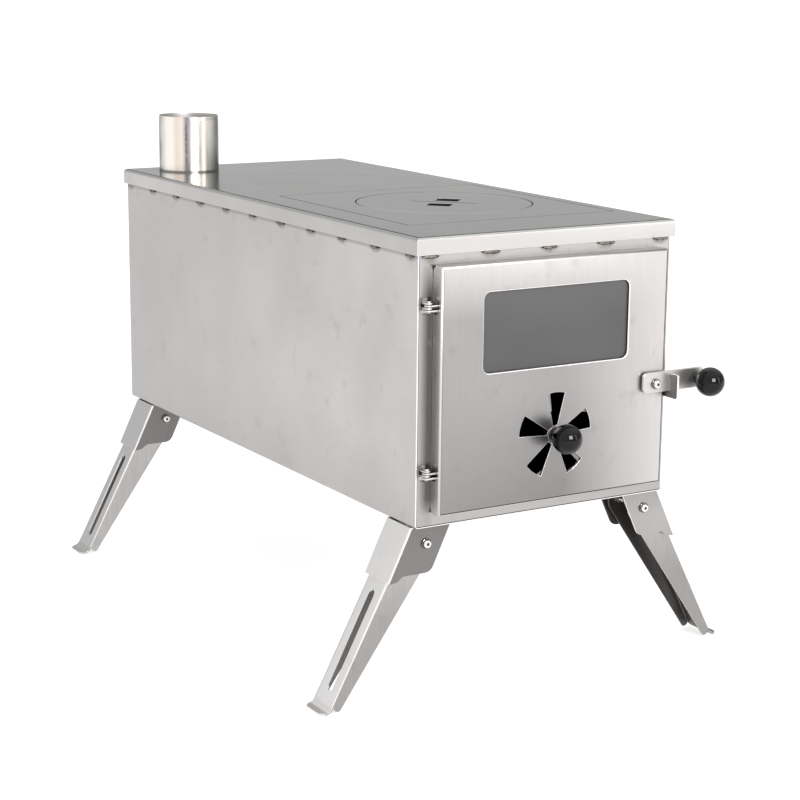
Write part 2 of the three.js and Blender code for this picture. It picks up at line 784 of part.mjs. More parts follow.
// A rivet with a domed head above the lugs and a peened end below them.
function hingePin() {
  const half = 1.5 * hingeLugPitch + hingeLugSheet / 2 + seat;
  return turned([
    [0, -half - 1], [hingePinRadius * 1.3, -half - 0.7], [hingePinRadius * 1.3, -half],
    [hingePinRadius, -half], [hingePinRadius, half], [hingePinHeadRadius, half],
    [hingePinHeadRadius * 0.8, half + hingePinHeadHeight * 0.75],
    [0, half + hingePinHeadHeight]], 14);
}

// --- Legs -----------------------------------------------------------------

// Each corner is drawn with its pivot at the origin, its outside towards -X
// and the width of its channel along Y.
const pivotX = sideX + bracketProud - pivotInset;
const splay = radians(bracketSplay);
const slopeDown = new THREE.Vector2(-Math.sin(splay), -Math.cos(splay));
const slopeIn = new THREE.Vector2(Math.cos(splay), -Math.sin(splay));

// A point of the bracket, from the distance down its web and in from it.
function bracketPoint(down, inward) {
  return new THREE.Vector2(-pivotInset, pivotDrop)
    .addScaledVector(slopeDown, down).addScaledVector(slopeIn, inward);
}

function legBracket() {
  const top = pivotDrop - seat;
  const bottom = pivotDrop - bracketDrop;
  const underBox = (inward) => (seat - inward * Math.sin(splay)) / Math.cos(splay);
  const aboveDrop = (inward) => (bracketDrop - inward * Math.sin(splay)) / Math.cos(splay);
  const webTop = bracketPoint(underBox(0), 0);
  const webEnd = bracketPoint(bracketWebLength, 0);
  const webEndInside = bracketPoint(bracketWebLength, bracketSheet);
  const flangeTop = bracketPoint(underBox(bracketDepth), bracketDepth);
  const flangeEnd = bracketPoint(aboveDrop(bracketDepth), bracketDepth);
  const profile = outline([
    [webTop.x, top], [webEnd.x, webEnd.y], [webEndInside.x, webEndInside.y],
    [webEndInside.x + bracketRelief * 0.5, webEndInside.y + 0.6, 3],
    [webEndInside.x + bracketRelief, bottom, 4],
    [flangeEnd.x, bottom, bracketCorner], [flangeTop.x, top]]);
  const channel = plateAcrossY(profile, -bracketWidth / 2, bracketWidth / 2, 3);
  const inside = [
    bracketPoint(-bracketDepth, bracketSheet), bracketPoint(2 * bracketWebLength, bracketSheet),
    bracketPoint(2 * bracketWebLength, 3 * bracketDepth),
    bracketPoint(-2 * bracketWebLength, 3 * bracketDepth)];
  const hollow = plateAcrossY(outline(inside.map(({ x, y }) => [x, y])),
    -bracketWidth / 2 + bracketSheet, bracketWidth / 2 - bracketSheet);
  return cut(channel, hollow, rodAlongY(
    0, 0, shoulderRadius + nutGap, -bracketWidth, bracketWidth, 16));
}

// The leg stands against the lower inner edge of its bracket's web.
function legAngle() {
  const web = (pivotInset * Math.cos(splay) + pivotDrop * Math.sin(splay)) - bracketSheet;
  const down = bracketWebLength
    - (pivotDrop * Math.cos(splay) - pivotInset * Math.sin(splay));
  const reach = Math.hypot(web, down);
  return splay + Math.atan2(web, down) - Math.asin((legWebOffset + seat) / reach);
}

// The web's length below the pivot that sets the foot on the ground.
function legWebLength() {
  const angle = legAngle();
  const bendDrop = standHeight - pivotDrop - footBend - legSheet;
  return (bendDrop + (legWebOffset + footBend) * Math.sin(angle)) / Math.cos(angle);
}

function footLip(webLength) {
  const centreX = -legWebOffset - footBend;
  const turn = Math.PI / 2 - legAngle();
  const tip = (radius) => new THREE.Vector2(
    centreX + radius * Math.cos(turn), -webLength - radius * Math.sin(turn));
  const along = new THREE.Vector2(-Math.sin(turn), -Math.cos(turn)).multiplyScalar(footFlat);
  const upper = tip(footBend).add(along);
  const lower = tip(footBend + legSheet).add(along);
  const shape = new THREE.Shape();
  shape.moveTo(-legWebOffset + legSheet, -webLength + 1);
  shape.lineTo(-legWebOffset, -webLength + 1);
  shape.absarc(centreX, -webLength, footBend, 0, -turn, true);
  shape.lineTo(upper.x, upper.y);
  shape.lineTo(lower.x, lower.y);
  shape.absarc(centreX, -webLength, footBend + legSheet, -turn, 0, false);
  shape.closePath();
  const strip = plateAcrossY(shape, -legWidth / 2, legWidth / 2, 2);
  const corners = [-1, 1].map((side) => {
    const edge = side * legWidth / 2;
    const wedge = outline([[lower.x - 1, edge - side * (footChamfer + 1)],
      [lower.x + footChamfer, edge + side], [lower.x - 1, edge + side]]);
    return plateAcrossZ(wedge, -2 * webLength, 0);
  });
  return cut(strip, ...corners);
}

// A tapered channel: a web with a long slot, a rounded head about the pivot
// and a turned-out foot.
function legChannel() {
  const webLength = legWebLength();
  const taper = radians(legTaper);
  const tangentX = legHeadRadius * Math.cos(taper);
  const tangentZ = -legHeadRadius * Math.sin(taper);
  const flangeEnd = -webLength - legFlangeTail;
  const flangeEndX = tangentX + (flangeEnd - tangentZ) * Math.tan(taper);
  const headX = -Math.sqrt(legHeadRadius ** 2 - legWebAbovePivot ** 2);
  const shape = new THREE.Shape();
  shape.moveTo(-legWebOffset, -webLength);
  shape.lineTo(-legWebOffset + legSheet, -webLength);
  shape.lineTo(-legWebOffset + 2 * legSheet, flangeEnd);
  shape.lineTo(flangeEndX - legEndCorner, flangeEnd);
  shape.quadraticCurveTo(flangeEndX, flangeEnd,
    flangeEndX + legEndCorner * Math.tan(taper), flangeEnd + legEndCorner);
  shape.lineTo(tangentX, tangentZ);
  shape.absarc(0, 0, legHeadRadius, -taper, Math.atan2(legWebAbovePivot, headX), false);
  shape.lineTo(-legWebOffset, legWebAbovePivot);
  shape.closePath();
  const channel = plateAcrossY(shape, -legWidth / 2, legWidth / 2, 5);
  const hollow = block(-legWebOffset + legSheet, legWebOffset * 3,
    -legWidth / 2 + legSheet, legWidth / 2 - legSheet, -2 * webLength, webLength);
  const slotShape = roundedRectangle(-legSlotWidth / 2, legSlotWidth / 2,
    -webLength + legSlotFromEnd, -legSlotFromPivot, legSlotWidth / 2 - 0.05);
  const slot = plateAcrossX(slotShape, -legWebOffset - 1, -legWebOffset + legSheet + 1, 3);
  const pivots = rodAlongY(0, 0, screwRadius + pivotClearance, -legWidth, legWidth, 14);
  return join(cut(channel, hollow, slot, pivots), footLip(webLength));
}

function legCorner(place, side, y) {
  const corner = new THREE.Group();
  corner.position.set(side * pivotX, y, -pivotDrop);
  corner.rotation.z = side > 0 ? Math.PI : 0;
  corner.add(piece(`leg_bracket_${place}`, legBracket(), frontSteel));
  const leg = piece(`leg_${place}`, legChannel(), panelSteel);
  leg.rotation.y = legAngle();
  corner.add(leg);
  const gapToLeg = (bracketWidth - legWidth) / 2 + seat;
  const screwLength = washerSheet + gapToLeg + legSheet + seat + nutHeight + screwTail;
  ['fore', 'aft'].forEach((flange, index) => {
    const fastening = new THREE.Group();
    fastening.rotation.z = (index === 0) === (side < 0) ? 0 : Math.PI;
    const screw = piece(
      `leg_screw_${place}_${flange}`, shoulderScrew(screwLength, gapToLeg - seat), brightSteel);
    screw.position.y = -bracketWidth / 2 - seat;
    const inner = piece(
      `leg_nut_${place}_${flange}`, nut(nutAcross, nutHeight, screwRadius), brightSteel);
    inner.position.y = -legWidth / 2 + legSheet + seat;
    fastening.add(screw, inner);
    corner.add(fastening);
  });
  return corner;
}

// --- Assembly -------------------------------------------------------------

const stove = new THREE.Group();

stove.add(
  piece('body_wrap', bodyWrap(), panelSteel),
  piece('back_panel', backPanel(), panelSteel),
  piece('front_frame', frontFrame(), frontSteel),
  piece('top_plate', topPlate(), topSteel),
  piece('lid_seat_plate', lidSeatPlate(), innerSteel),
  piece('fire_grate', fireGrate(), innerSteel),
  piece('smoke_baffle', smokeBaffle(), innerSteel),
  piece('latch_catch', latchCatch(), frontSteel));

const collar = piece('flue_collar', flueCollar(), brightSteel);
collar.position.set(flueX, flueY, 0);
const lid = piece('cooktop_lid', cooktopLid(), topSteel);
lid.position.set(lidX, lidY, 0);
lid.rotation.z = radians(lidSlotAngle);
stove.add(collar, lid);

stove.add(
  piece('door_panel', doorPanel(), frontSteel),
  piece('window_gasket', windowGasket(), gasketFibre),
  piece('window_glass', windowGlass(), smokedGlass),
  piece('window_retainer', windowRetainer(), innerSteel));
studPlaces().forEach(([x, z], index) => {
  const fixing = piece(
    `retainer_nut_${index + 1}`, nut(smallNutAcross, smallNutHeight, studRadius), brightSteel);
  fixing.position.set(x, studNutY, z);
  stove.add(fixing);
});

for (const [place, height] of Object.entries(hingeHeights)) {
  const hinge = new THREE.Group();
  hinge.position.set(hingeX, hingeY, height);
  hinge.add(
    piece(`hinge_frame_leaf_${place}`, hingeLeafOnFrame(), brightSteel),
    piece(`hinge_door_leaf_${place}`, hingeLeafOnDoor(), brightSteel),
    piece(`hinge_pin_${place}`, hingePin(), brightSteel));
  stove.add(hinge);
}

const damper = new THREE.Group();
damper.position.set(fanX, 0, fanZ);
const damperBack = door.inside + seat + damperSheet;
const knobFoot = door.front - 2 * seat - washerSheet;
const spindle = piece('damper_spindle', hexBolt(spindleHeadAcross, spindleHeadHeight,
  spindleRadius, damperBack + seat - knobFoot + knobBoreDepth - 2 * seat), brightSteel);
spindle.position.y = damperBack + seat;
const damperKnob = piece('damper_knob', ballKnob(spindleRadius + nutGap), blackResin);
damperKnob.position.y = knobFoot - seat - ballStandoff;
damper.add(
  piece('damper_disc', damperDisc(), frontSteel),
  piece('damper_washer', washer(damperWasherRadius, spindleRadius + nutGap,
    knobFoot + seat, door.front - seat), brightSteel),
  spindle, damperKnob);
stove.add(damper);

const latch = new THREE.Group();
latch.position.set(latchX, 0, latchZ);
const latchHeadY = latchBarFront - 2 * seat - washerSheet;
const latchScrew = piece('latch_pivot_screw', domedScrew(
  door.inside + seat + nutHeight + screwTail - latchHeadY), brightSteel);
latchScrew.position.y = latchHeadY - seat;
const latchNut = piece('latch_pivot_nut', nut(nutAcross, nutHeight, screwRadius), brightSteel);
latchNut.position.y = door.inside + seat;
const latchKnobScrew = piece('latch_knob_screw', hexBolt(nutAcross, nutHeight,
  latchKnobScrewRadius, latchBarSheet + 2 * seat + knobBoreDepth - seat), brightSteel);
latchKnobScrew.position.set(latchKnobAt, latchBarBack + seat, 0);
const latchKnob = piece('latch_knob', ballKnob(latchKnobScrewRadius + nutGap), blackResin);
latchKnob.position.set(latchKnobAt, latchBarFront - seat - ballStandoff, 0);
latch.add(
  piece('latch_arm', latchArm(), frontSteel),
  piece('latch_spacer', washer(latchWasherRadius, screwRadius + pivotClearance,
    latchBarBack + seat, door.front - seat), brightSteel),
  piece('latch_washer', washer(latchWasherRadius, screwRadius + pivotClearance,
    latchHeadY, latchBarFront - seat), brightSteel),
  latchScrew, latchNut, latchKnobScrew, latchKnob);
stove.add(latch);

const legRows = { front: legRowFront, rear: bodyLength - legRowBack };
for (const [row, y] of Object.entries(legRows)) {
  stove.add(legCorner(`${row}_left`, -1, y), legCorner(`${row}_right`, 1, y));
}

// The ground is under the feet, and the origin under the middle of the whole.
const reach = new THREE.Box3().setFromObject(stove, true);
const middle = reach.getCenter(new THREE.Vector3());
stove.position.set(-middle.x, -middle.y, -reach.min.z);

export default stove;
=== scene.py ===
# %% [markdown]
# # A tent wood stove
#
# The real object is a firebox of thin stainless sheet on four folding legs. Its door has a window,
# a turning air damper with a black knob and a latch bar that drops into a fork. A flue collar and
# a round lid sit in the cap. The measured solids already have the right sizes, so this lesson
# gives each of them the bends, edges, welds and brushed surface that a maker would see.

# %% Load the measured frame
import json
import math
import random

import bpy
from mathutils import Matrix, Vector

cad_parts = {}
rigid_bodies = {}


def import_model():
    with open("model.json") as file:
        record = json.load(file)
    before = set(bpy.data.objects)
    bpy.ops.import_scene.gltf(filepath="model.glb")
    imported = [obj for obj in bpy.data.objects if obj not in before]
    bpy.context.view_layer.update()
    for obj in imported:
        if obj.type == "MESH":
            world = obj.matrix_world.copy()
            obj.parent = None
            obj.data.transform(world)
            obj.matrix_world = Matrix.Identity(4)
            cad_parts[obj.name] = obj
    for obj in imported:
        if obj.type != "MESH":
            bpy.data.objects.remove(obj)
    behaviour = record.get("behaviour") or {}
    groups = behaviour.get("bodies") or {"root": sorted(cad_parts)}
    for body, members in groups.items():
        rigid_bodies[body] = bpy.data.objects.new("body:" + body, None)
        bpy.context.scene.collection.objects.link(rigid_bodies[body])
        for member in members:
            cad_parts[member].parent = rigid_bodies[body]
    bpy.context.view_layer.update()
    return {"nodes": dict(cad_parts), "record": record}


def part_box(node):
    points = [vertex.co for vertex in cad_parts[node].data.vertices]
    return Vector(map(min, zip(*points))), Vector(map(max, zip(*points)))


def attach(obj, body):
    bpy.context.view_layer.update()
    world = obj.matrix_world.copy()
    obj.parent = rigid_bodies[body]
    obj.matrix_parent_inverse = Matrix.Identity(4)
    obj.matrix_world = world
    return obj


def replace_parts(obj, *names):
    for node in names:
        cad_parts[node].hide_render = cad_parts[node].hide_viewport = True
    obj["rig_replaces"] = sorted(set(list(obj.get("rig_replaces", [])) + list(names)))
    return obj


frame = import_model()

bodies = frame["record"]["behaviour"]["bodies"]
body_holding = {node: body for body, nodes in bodies.items() for node in nodes}
slot_of = {part["node"]: part["material_slot"] for part in frame["record"]["subparts"]}
print("nodes:", len(body_holding))

# %% [markdown]
# ## The places everything hangs on
#
# Millimetres read more easily than metres for sheet metal, so one constant turns them. The
# firebox, cap and door boxes come from the frame, and every later piece takes its place from them.

# %% Places
MM = 0.001
wall_low, wall_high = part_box("body_wrap")
cap_low, cap_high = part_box("top_plate")
door_low, door_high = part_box("door_panel")
print("firebox mm:", [round((b - a) / MM) for a, b in zip(wall_low, wall_high)])

# %% [markdown]
# ## The weld tacks, planned before the steel
#
# The cap is held to the firebox by short weld tacks under its rim. Their heat leaves a brown halo
# in the sheet, so the steel has to know where they are: one row along each side and one across
# the front and the back, each at an even pitch.

# %% Where the tacks are
SIDE_TACKS, SIDE_FIRST, SIDE_PITCH = 10, wall_low[1] + 12 * MM, 54.8 * MM
FRONT_TACKS, FRONT_FIRST, FRONT_PITCH = 5, -114 * MM, 57 * MM
TACK_HEIGHT = cap_low[2] - 1.3 * MM
print("tacks at height mm:", round(TACK_HEIGHT / MM, 1))

# %% [markdown]
# ## Steel that has been brushed
#
# Stainless sheet leaves the mill with fine scratches along one direction, and a stove of it has
# been handled, so it also has cloudy patches and a few dull smudges. All of this is one metal
# whose colour, roughness and height vary: long thin noise for the scratches, wide noise for the
# clouds and rare spots for the smudges. A mapping node stretches the scratches along the grain.
# Two more layers can be laid on: painted light and shade that change slowly along the sheet, and
# the halos of heat.


# %% Small node helpers
def noise(tree, coordinates, scale, detail=3.0, roughness=0.5):
    """A noise node that reads the given coordinates."""
    node = tree.nodes.new("ShaderNodeTexNoise")
    node.inputs["Scale"].default_value = scale
    node.inputs["Detail"].default_value = detail
    node.inputs["Roughness"].default_value = roughness
    tree.links.new(coordinates, node.inputs["Vector"])
    return node.outputs["Fac"]


def spread(tree, value, low, high, source=(0.3, 0.7)):
    """Turns a value that runs over source into a number between low and high."""
    node = tree.nodes.new("ShaderNodeMapRange")
    node.inputs["From Min"].default_value = source[0]
    node.inputs["From Max"].default_value = source[1]
    node.inputs["To Min"].default_value = low
    node.inputs["To Max"].default_value = high
    tree.links.new(value, node.inputs["Value"])
    return node.outputs["Result"]


def blend(tree, share, first, second):
    """Mixes two colours by a share; each may be a socket or an RGB triple."""
    node = tree.nodes.new("ShaderNodeMix")
    node.data_type = "RGBA"
    for socket, colour in ((node.inputs[6], first), (node.inputs[7], second)):
        if isinstance(colour, bpy.types.NodeSocket):
            tree.links.new(colour, socket)
        else:
            socket.default_value = (*colour, 1)
    tree.links.new(share, node.inputs[0])
    return node.outputs[2]


def sum_up(tree, operation, first, second):
    """One arithmetic node; each term may be a socket or a number."""
    node = tree.nodes.new("ShaderNodeMath")
    node.operation = operation
    for socket, term in zip(node.inputs, (first, second)):
        if isinstance(term, bpy.types.NodeSocket):
            tree.links.new(term, socket)
        else:
            socket.default_value = term
    return node.outputs[0]


def axis_of(tree, place, axis):
    node = tree.nodes.new("ShaderNodeSeparateXYZ")
    tree.links.new(place, node.inputs[0])
    return node.outputs[axis.upper()]


def new_finish(name):
    """A material with its shader and object coordinates."""
    finish = bpy.data.materials.new(name)
    finish.use_nodes = True
    tree = finish.node_tree
    shader = tree.nodes["Principled BSDF"]
    place = tree.nodes.new("ShaderNodeTexCoord").outputs["Object"]
    return finish, tree, shader, place


print("node helpers ready")


# %% Halos of heat around the tacks
def heat_halo(tree, place, colour, axis, first, pitch, tone):
    """Darkens the colour around each tack of a row that runs along an axis."""
    from_first = sum_up(tree, "SUBTRACT", axis_of(tree, place, axis), first)
    along = sum_up(tree, "PINGPONG", from_first, pitch / 2)
    above = sum_up(tree, "SUBTRACT", axis_of(tree, place, "z"), TACK_HEIGHT)
    wide = sum_up(tree, "POWER", sum_up(tree, "DIVIDE", along, 10.5 * MM), 2)
    high = sum_up(tree, "POWER", sum_up(tree, "DIVIDE", above, 5.5 * MM), 2)
    share = spread(tree, sum_up(tree, "ADD", wide, high), 0.8, 0, (0.12, 1.0))
    patchy = sum_up(tree, "MULTIPLY", share, spread(tree, noise(tree, place, 160), 0.35, 1))
    return blend(tree, patchy, colour, tone)


print("heat halos: one for the sides, one for the front")


# %% Stainless steel
def brushed_steel(name, light, dark, roughness, grain="z", scratch=0.12, smudge=0.3, painted_light_and_shade=(),
                  halo=None, ridges=0.05):
    finish, tree, shader, place = new_finish(name)
    shader.inputs["Metallic"].default_value = 1.0
    stretch = tree.nodes.new("ShaderNodeMapping")
    along = {"x": (0.02, 1, 1), "y": (1, 0.02, 1), "z": (1, 1, 0.02)}[grain]
    stretch.inputs["Scale"].default_value = along
    tree.links.new(place, stretch.inputs["Vector"])
    grain_lines = noise(tree, stretch.outputs["Vector"], 1400, 2.0, 0.6)
    clouds = noise(tree, place, 9, 3.0, 0.55)
    spots = noise(tree, place, 42, 2.0, 0.6)
    colour = blend(tree, spread(tree, clouds, 0, 1), light, dark)
    # Painted light and shade: along one axis the colour is blended towards a lighter or darker
    # tone.
    for axis, start, end, share, tone in painted_light_and_shade:
        reach = spread(tree, axis_of(tree, place, axis), 0, share, (start * MM, end * MM))
        colour = blend(tree, reach, colour, tone)
    dull = [channel * 0.72 for channel in dark]
    colour = blend(tree, spread(tree, spots, 0, smudge, (0.62, 0.78)), colour, dull)
    colour = blend(tree, spread(tree, grain_lines, 0, scratch), colour, dull)
    if halo:
        colour = heat_halo(tree, place, colour, *halo, (0.10, 0.085, 0.075))
    tree.links.new(colour, shader.inputs["Base Color"])
    rough = sum_up(tree, "ADD", spread(tree, clouds, roughness - 0.03, roughness + 0.04),
                   spread(tree, grain_lines, -0.02, 0.03))
    tree.links.new(rough, shader.inputs["Roughness"])
    bump = tree.nodes.new("ShaderNodeBump")
    bump.inputs["Strength"].default_value = ridges
    bump.inputs["Distance"].default_value = 0.02 * MM
    tree.links.new(grain_lines, bump.inputs["Height"])
    tree.links.new(bump.outputs["Normal"], shader.inputs["Normal"])
    return finish


side_row = ("y", SIDE_FIRST, SIDE_PITCH)
front_row = ("x", FRONT_FIRST, FRONT_PITCH)
# The wall's colour holds painted shade: darker towards the back and towards the bottom, and a thin
# band of painted shadow just under the cap's rim.
wall_steel = brushed_steel("wall_steel", (0.54, 0.521, 0.512), (0.455, 0.442, 0.437), 0.36, "y",
                           halo=side_row, smudge=0.5,
                           painted_light_and_shade=(("y", -230, 250, 0.8, (0.40, 0.388, 0.384)),
                                  ("z", 215, 155, 0.6, (0.38, 0.368, 0.364)),
                                  ("z", 366.5, 370, 0.6, (0.12, 0.115, 0.11))))
FRAME_TONE = (0.46, 0.444, 0.436)
# The frame's colour holds painted shade: a dark strip beside the door's left edge, painted as
# shade and reflection, and a darker lower part.
frame_steel = brushed_steel(
    "frame_steel", FRAME_TONE, (0.40, 0.388, 0.38), 0.30, "z", halo=front_row,
    painted_light_and_shade=(("x", -125, -115, 0.95, (0.075, 0.07, 0.067)), ("x", -112, -108, 1.0, FRAME_TONE),
           ("z", 340, 362, 0.8, FRAME_TONE), ("z", 172, 158, 0.85, (0.37, 0.358, 0.35))))
# The door's colour holds painted light and shade: darker towards the bottom, lighter towards the
# top and the right.
door_steel = brushed_steel(
    "door_steel", (0.33, 0.318, 0.316), (0.285, 0.275, 0.273), 0.34, "z",
    painted_light_and_shade=(("z", 260, 165, 0.8, (0.20, 0.193, 0.191)), ("z", 318, 362, 0.9, (0.66, 0.64, 0.63)),
           ("x", 10, 108, 0.9, (0.57, 0.55, 0.54)), ("x", -20, -110, 0.25, (0.33, 0.318, 0.316))))
# rim_steel is a lighter copy for painted light on rims and bends; bar_steel is the latch arm's and
# the hinges' own steel, and also paints a highlight on the door's left bend.
rim_steel = brushed_steel("rim_steel", (0.57, 0.55, 0.535), (0.52, 0.502, 0.49), 0.30, "x", 0.1)
bar_steel = brushed_steel("bar_steel", (0.62, 0.60, 0.59), (0.54, 0.525, 0.515), 0.34, "x", 0.25)
# web_steel is a lit copy for the legs' webs, painted darker towards the back.
web_steel = brushed_steel("web_steel", (0.76, 0.75, 0.74), (0.66, 0.65, 0.64), 0.32, "z", 0.25,
                          painted_light_and_shade=(("y", 50, 250, 1.0, (0.50, 0.492, 0.487)),))
# bracket_steel is a shaded copy for the brackets' flanges, painted darker to the left and towards
# the top.
bracket_steel = brushed_steel(
    "bracket_steel", (0.40, 0.385, 0.375), (0.34, 0.328, 0.318), 0.32, "z", 0.2,
    painted_light_and_shade=(("x", 0, -80, 1.0, (0.18, 0.172, 0.17)), ("z", 125, 150, 0.3, (0.10, 0.095, 0.09))))
# The cap's colour holds a painted reflection: darker towards the front.
cap_steel = brushed_steel("cap_steel", (0.55, 0.555, 0.545), (0.50, 0.505, 0.495), 0.15, "y", 0.06,
                          0.1, ridges=0.015, painted_light_and_shade=(("y", 80, -240, 0.8, (0.43, 0.434, 0.425)),))
# leg_steel is a copy used for painted light on the cap's side rim.
leg_steel = brushed_steel("leg_steel", (0.50, 0.485, 0.475), (0.43, 0.42, 0.41), 0.30, "z", 0.2)
# flange_steel is a shaded copy for flanges, undersides and returns, painted lighter towards the
# back and towards the top.
flange_steel = brushed_steel(
    "flange_steel", (0.34, 0.326, 0.316), (0.28, 0.27, 0.262), 0.32, "z", 0.25,
    painted_light_and_shade=(("y", 50, 250, 1.0, (0.46, 0.445, 0.437)), ("z", 70, 105, 0.5, (0.46, 0.445, 0.437))))
bright_steel = brushed_steel("bright_steel", (0.78, 0.765, 0.75), (0.66, 0.65, 0.635), 0.14, "z",
                             0.1)
# Painted highlights for edges, bends, the door's left return and the catch.
highlight_steel = brushed_steel("highlight_steel", (0.88, 0.87, 0.86), (0.80, 0.79, 0.78), 0.28, "z", 0.1)
shaded_steel = brushed_steel("shaded_steel", (0.085, 0.08, 0.076), (0.055, 0.052, 0.05), 0.42, "z",
                             0.3)
# Painted shade for the insides of the legs and brackets.
leg_inside_shade = brushed_steel("leg_inside_shade", (0.17, 0.16, 0.153), (0.11, 0.104, 0.10), 0.42, "z", 0.3)
dull_steel = brushed_steel("dull_steel", (0.30, 0.285, 0.27), (0.20, 0.19, 0.18), 0.45, "y", 0.2)
print("steels:", 15)

# %% [markdown]
# ## Resin, glass, fibre, weld metal and the tinted tube
#
# The knobs are moulded resin with a polished skin. The window is flat heatproof glass that looks
# smoky grey from outside, with a painted reflection that makes it lighter towards the top, and the
# fibre behind it is graphite black. Weld metal is darker and yellower than the sheet, because the
# heat has oxidised it. The tube of the flue collar is rolled and welded along one seam, and the
# weld has tinted the steel beside it straw and rose; the tube also carries painted reflections,
# bright bands and dark edges, and painted shade at its foot.


# %% The other finishes
def black_resin():
    finish, tree, shader, place = new_finish("black_resin")
    tint = blend(tree, spread(tree, noise(tree, place, 60), 0, 1), (0.0006, 0.0006, 0.0007),
                 (0.0022, 0.002, 0.002))
    tree.links.new(tint, shader.inputs["Base Color"])
    tree.links.new(spread(tree, noise(tree, place, 220), 0.06, 0.11), shader.inputs["Roughness"])
    shader.inputs["Specular IOR Level"].default_value = 0.27
    return finish


def smoked_glass():
    finish, tree, shader, place = new_finish("smoked_glass")
    haze_and_sheen = blend(tree, spread(tree, noise(tree, place, 14), 0, 1), (0.066, 0.0635, 0.0638),
                 (0.055, 0.0535, 0.0542))
    # Painted reflection: the glass is lighter towards the top.
    upper = spread(tree, axis_of(tree, place, "z"), 0, 1, (300 * MM, 342 * MM))
    haze_and_sheen = blend(tree, upper, haze_and_sheen, (0.076, 0.0735, 0.0735))
    tree.links.new(haze_and_sheen, shader.inputs["Base Color"])
    tree.links.new(spread(tree, noise(tree, place, 40), 0.04, 0.09), shader.inputs["Roughness"])
    shader.inputs["Specular IOR Level"].default_value = 0.25
    return finish


def graphite_fibre():
    finish, tree, shader, place = new_finish("graphite_fibre")
    weave = tree.nodes.new("ShaderNodeTexWave")
    weave.inputs["Scale"].default_value = 700
    tree.links.new(place, weave.inputs["Vector"])
    tint = blend(tree, weave.outputs["Fac"], (0.022, 0.021, 0.020), (0.008, 0.008, 0.008))
    tree.links.new(tint, shader.inputs["Base Color"])
    shader.inputs["Roughness"].default_value = 0.95
    return finish


def weld_metal():
    finish, tree, shader, place = new_finish("weld_metal")
    heat = spread(tree, noise(tree, place, 420, 3.0), 0, 1)
    tint = blend(tree, heat, (0.045, 0.038, 0.034), (0.30, 0.26, 0.23))
    tree.links.new(tint, shader.inputs["Base Color"])
    shader.inputs["Metallic"].default_value = 0.8
    tree.links.new(spread(tree, heat, 0.38, 0.6, (0, 1)), shader.inputs["Roughness"])
    return finish


print("finishes: resin, glass, fibre, weld")

# %% The tinted tube's finish
collar_low, collar_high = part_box("flue_collar")
COLLAR_RADIUS = 30 * MM
collar_x = (collar_low[0] + collar_high[0]) / 2
collar_y = (collar_low[1] + collar_high[1]) / 2
SEAM_TURN = math.radians(-30)


def tint_and_reflection_tube():
    """Bright tube; seen from its seam, bands of straw and rose heat tint and grey run up both
    sides of it, among painted reflections: bright bands, and dark edges where the tube turns away.
    """
    finish, tree, shader, place = new_finish("tint_and_reflection_tube")
    shader.inputs["Metallic"].default_value = 1.0
    centre = tree.nodes.new("ShaderNodeMapping")
    centre.vector_type = "TEXTURE"
    centre.inputs["Location"].default_value = (collar_x, collar_y, 0)
    centre.inputs["Rotation"].default_value = (0, 0, SEAM_TURN)
    tree.links.new(place, centre.inputs["Vector"])
    across = axis_of(tree, centre.outputs["Vector"], "x")
    # The bands hold the heat tint beside the seam and painted reflections: dark edges at both
    # sides and bright bands between.
    bands = tree.nodes.new("ShaderNodeValToRGB")
    stops = bands.color_ramp.elements
    stops[0].position, stops[0].color = 0.0, (0.03, 0.029, 0.028, 1)
    stops[1].position, stops[1].color = 1.0, (0.03, 0.029, 0.028, 1)
    for position, tone in (
            (0.025, (0.10, 0.096, 0.092)), (0.07, (0.50, 0.49, 0.46)),
            (0.16, (0.80, 0.78, 0.71)), (0.26, (0.84, 0.80, 0.72)),
            (0.33, (0.72, 0.62, 0.56)), (0.43, (0.78, 0.70, 0.63)),
            (0.465, (0.50, 0.46, 0.45)), (0.50, (0.26, 0.245, 0.245)),
            (0.54, (0.33, 0.315, 0.315)), (0.575, (0.50, 0.485, 0.485)),
            (0.64, (0.58, 0.54, 0.51)), (0.75, (0.76, 0.70, 0.64)),
            (0.87, (0.66, 0.63, 0.585)), (0.93, (0.34, 0.33, 0.31)),
            (0.975, (0.09, 0.087, 0.084))):
        stop = stops.new(position)
        stop.color = (*tone, 1)
    centred = sum_up(tree, "SUBTRACT", noise(tree, place, 45), 0.5)
    wander = sum_up(tree, "MULTIPLY", centred, 2.5 * MM)
    tree.links.new(spread(tree, sum_up(tree, "ADD", across, wander), 0, 1,
                          (-COLLAR_RADIUS, COLLAR_RADIUS)), bands.inputs["Fac"])
    fine = noise(tree, place, 300, 2.0)
    brushed = blend(tree, spread(tree, fine, 0, 0.05), bands.outputs["Color"], (0.4, 0.38, 0.36))
    # Painted shade: the tube darkens at its foot, where it meets the cap.
    foot = spread(tree, axis_of(tree, place, "z"), 0.85, 0,
                  (cap_high[2] + 1 * MM, cap_high[2] + 2.5 * MM))
    tree.links.new(blend(tree, foot, brushed, (0.13, 0.12, 0.11)), shader.inputs["Base Color"])
    tree.links.new(spread(tree, noise(tree, place, 35), 0.22, 0.28), shader.inputs["Roughness"])
    return finish


finishes = {
    "panel_steel": wall_steel, "front_steel": frame_steel, "top_steel": cap_steel,
    "bright_steel": bright_steel, "inner_steel": dull_steel, "black_resin": black_resin(),
    "smoked_glass": smoked_glass(), "gasket_fibre": graphite_fibre(),
}
weld = weld_metal()
tube_finish = tint_and_reflection_tube()
print("finishes in the record's slots:", len(finishes))

# %% [markdown]
# ## Small tools for the bench
#
# A piece is picked up alone before it is worked, because Blender's operators act on everything
# that is selected. Faces and edges are picked by a rule about their place or direction. A finished
# piece is given its finish, rides on its body, and says which measured solid it stands for.


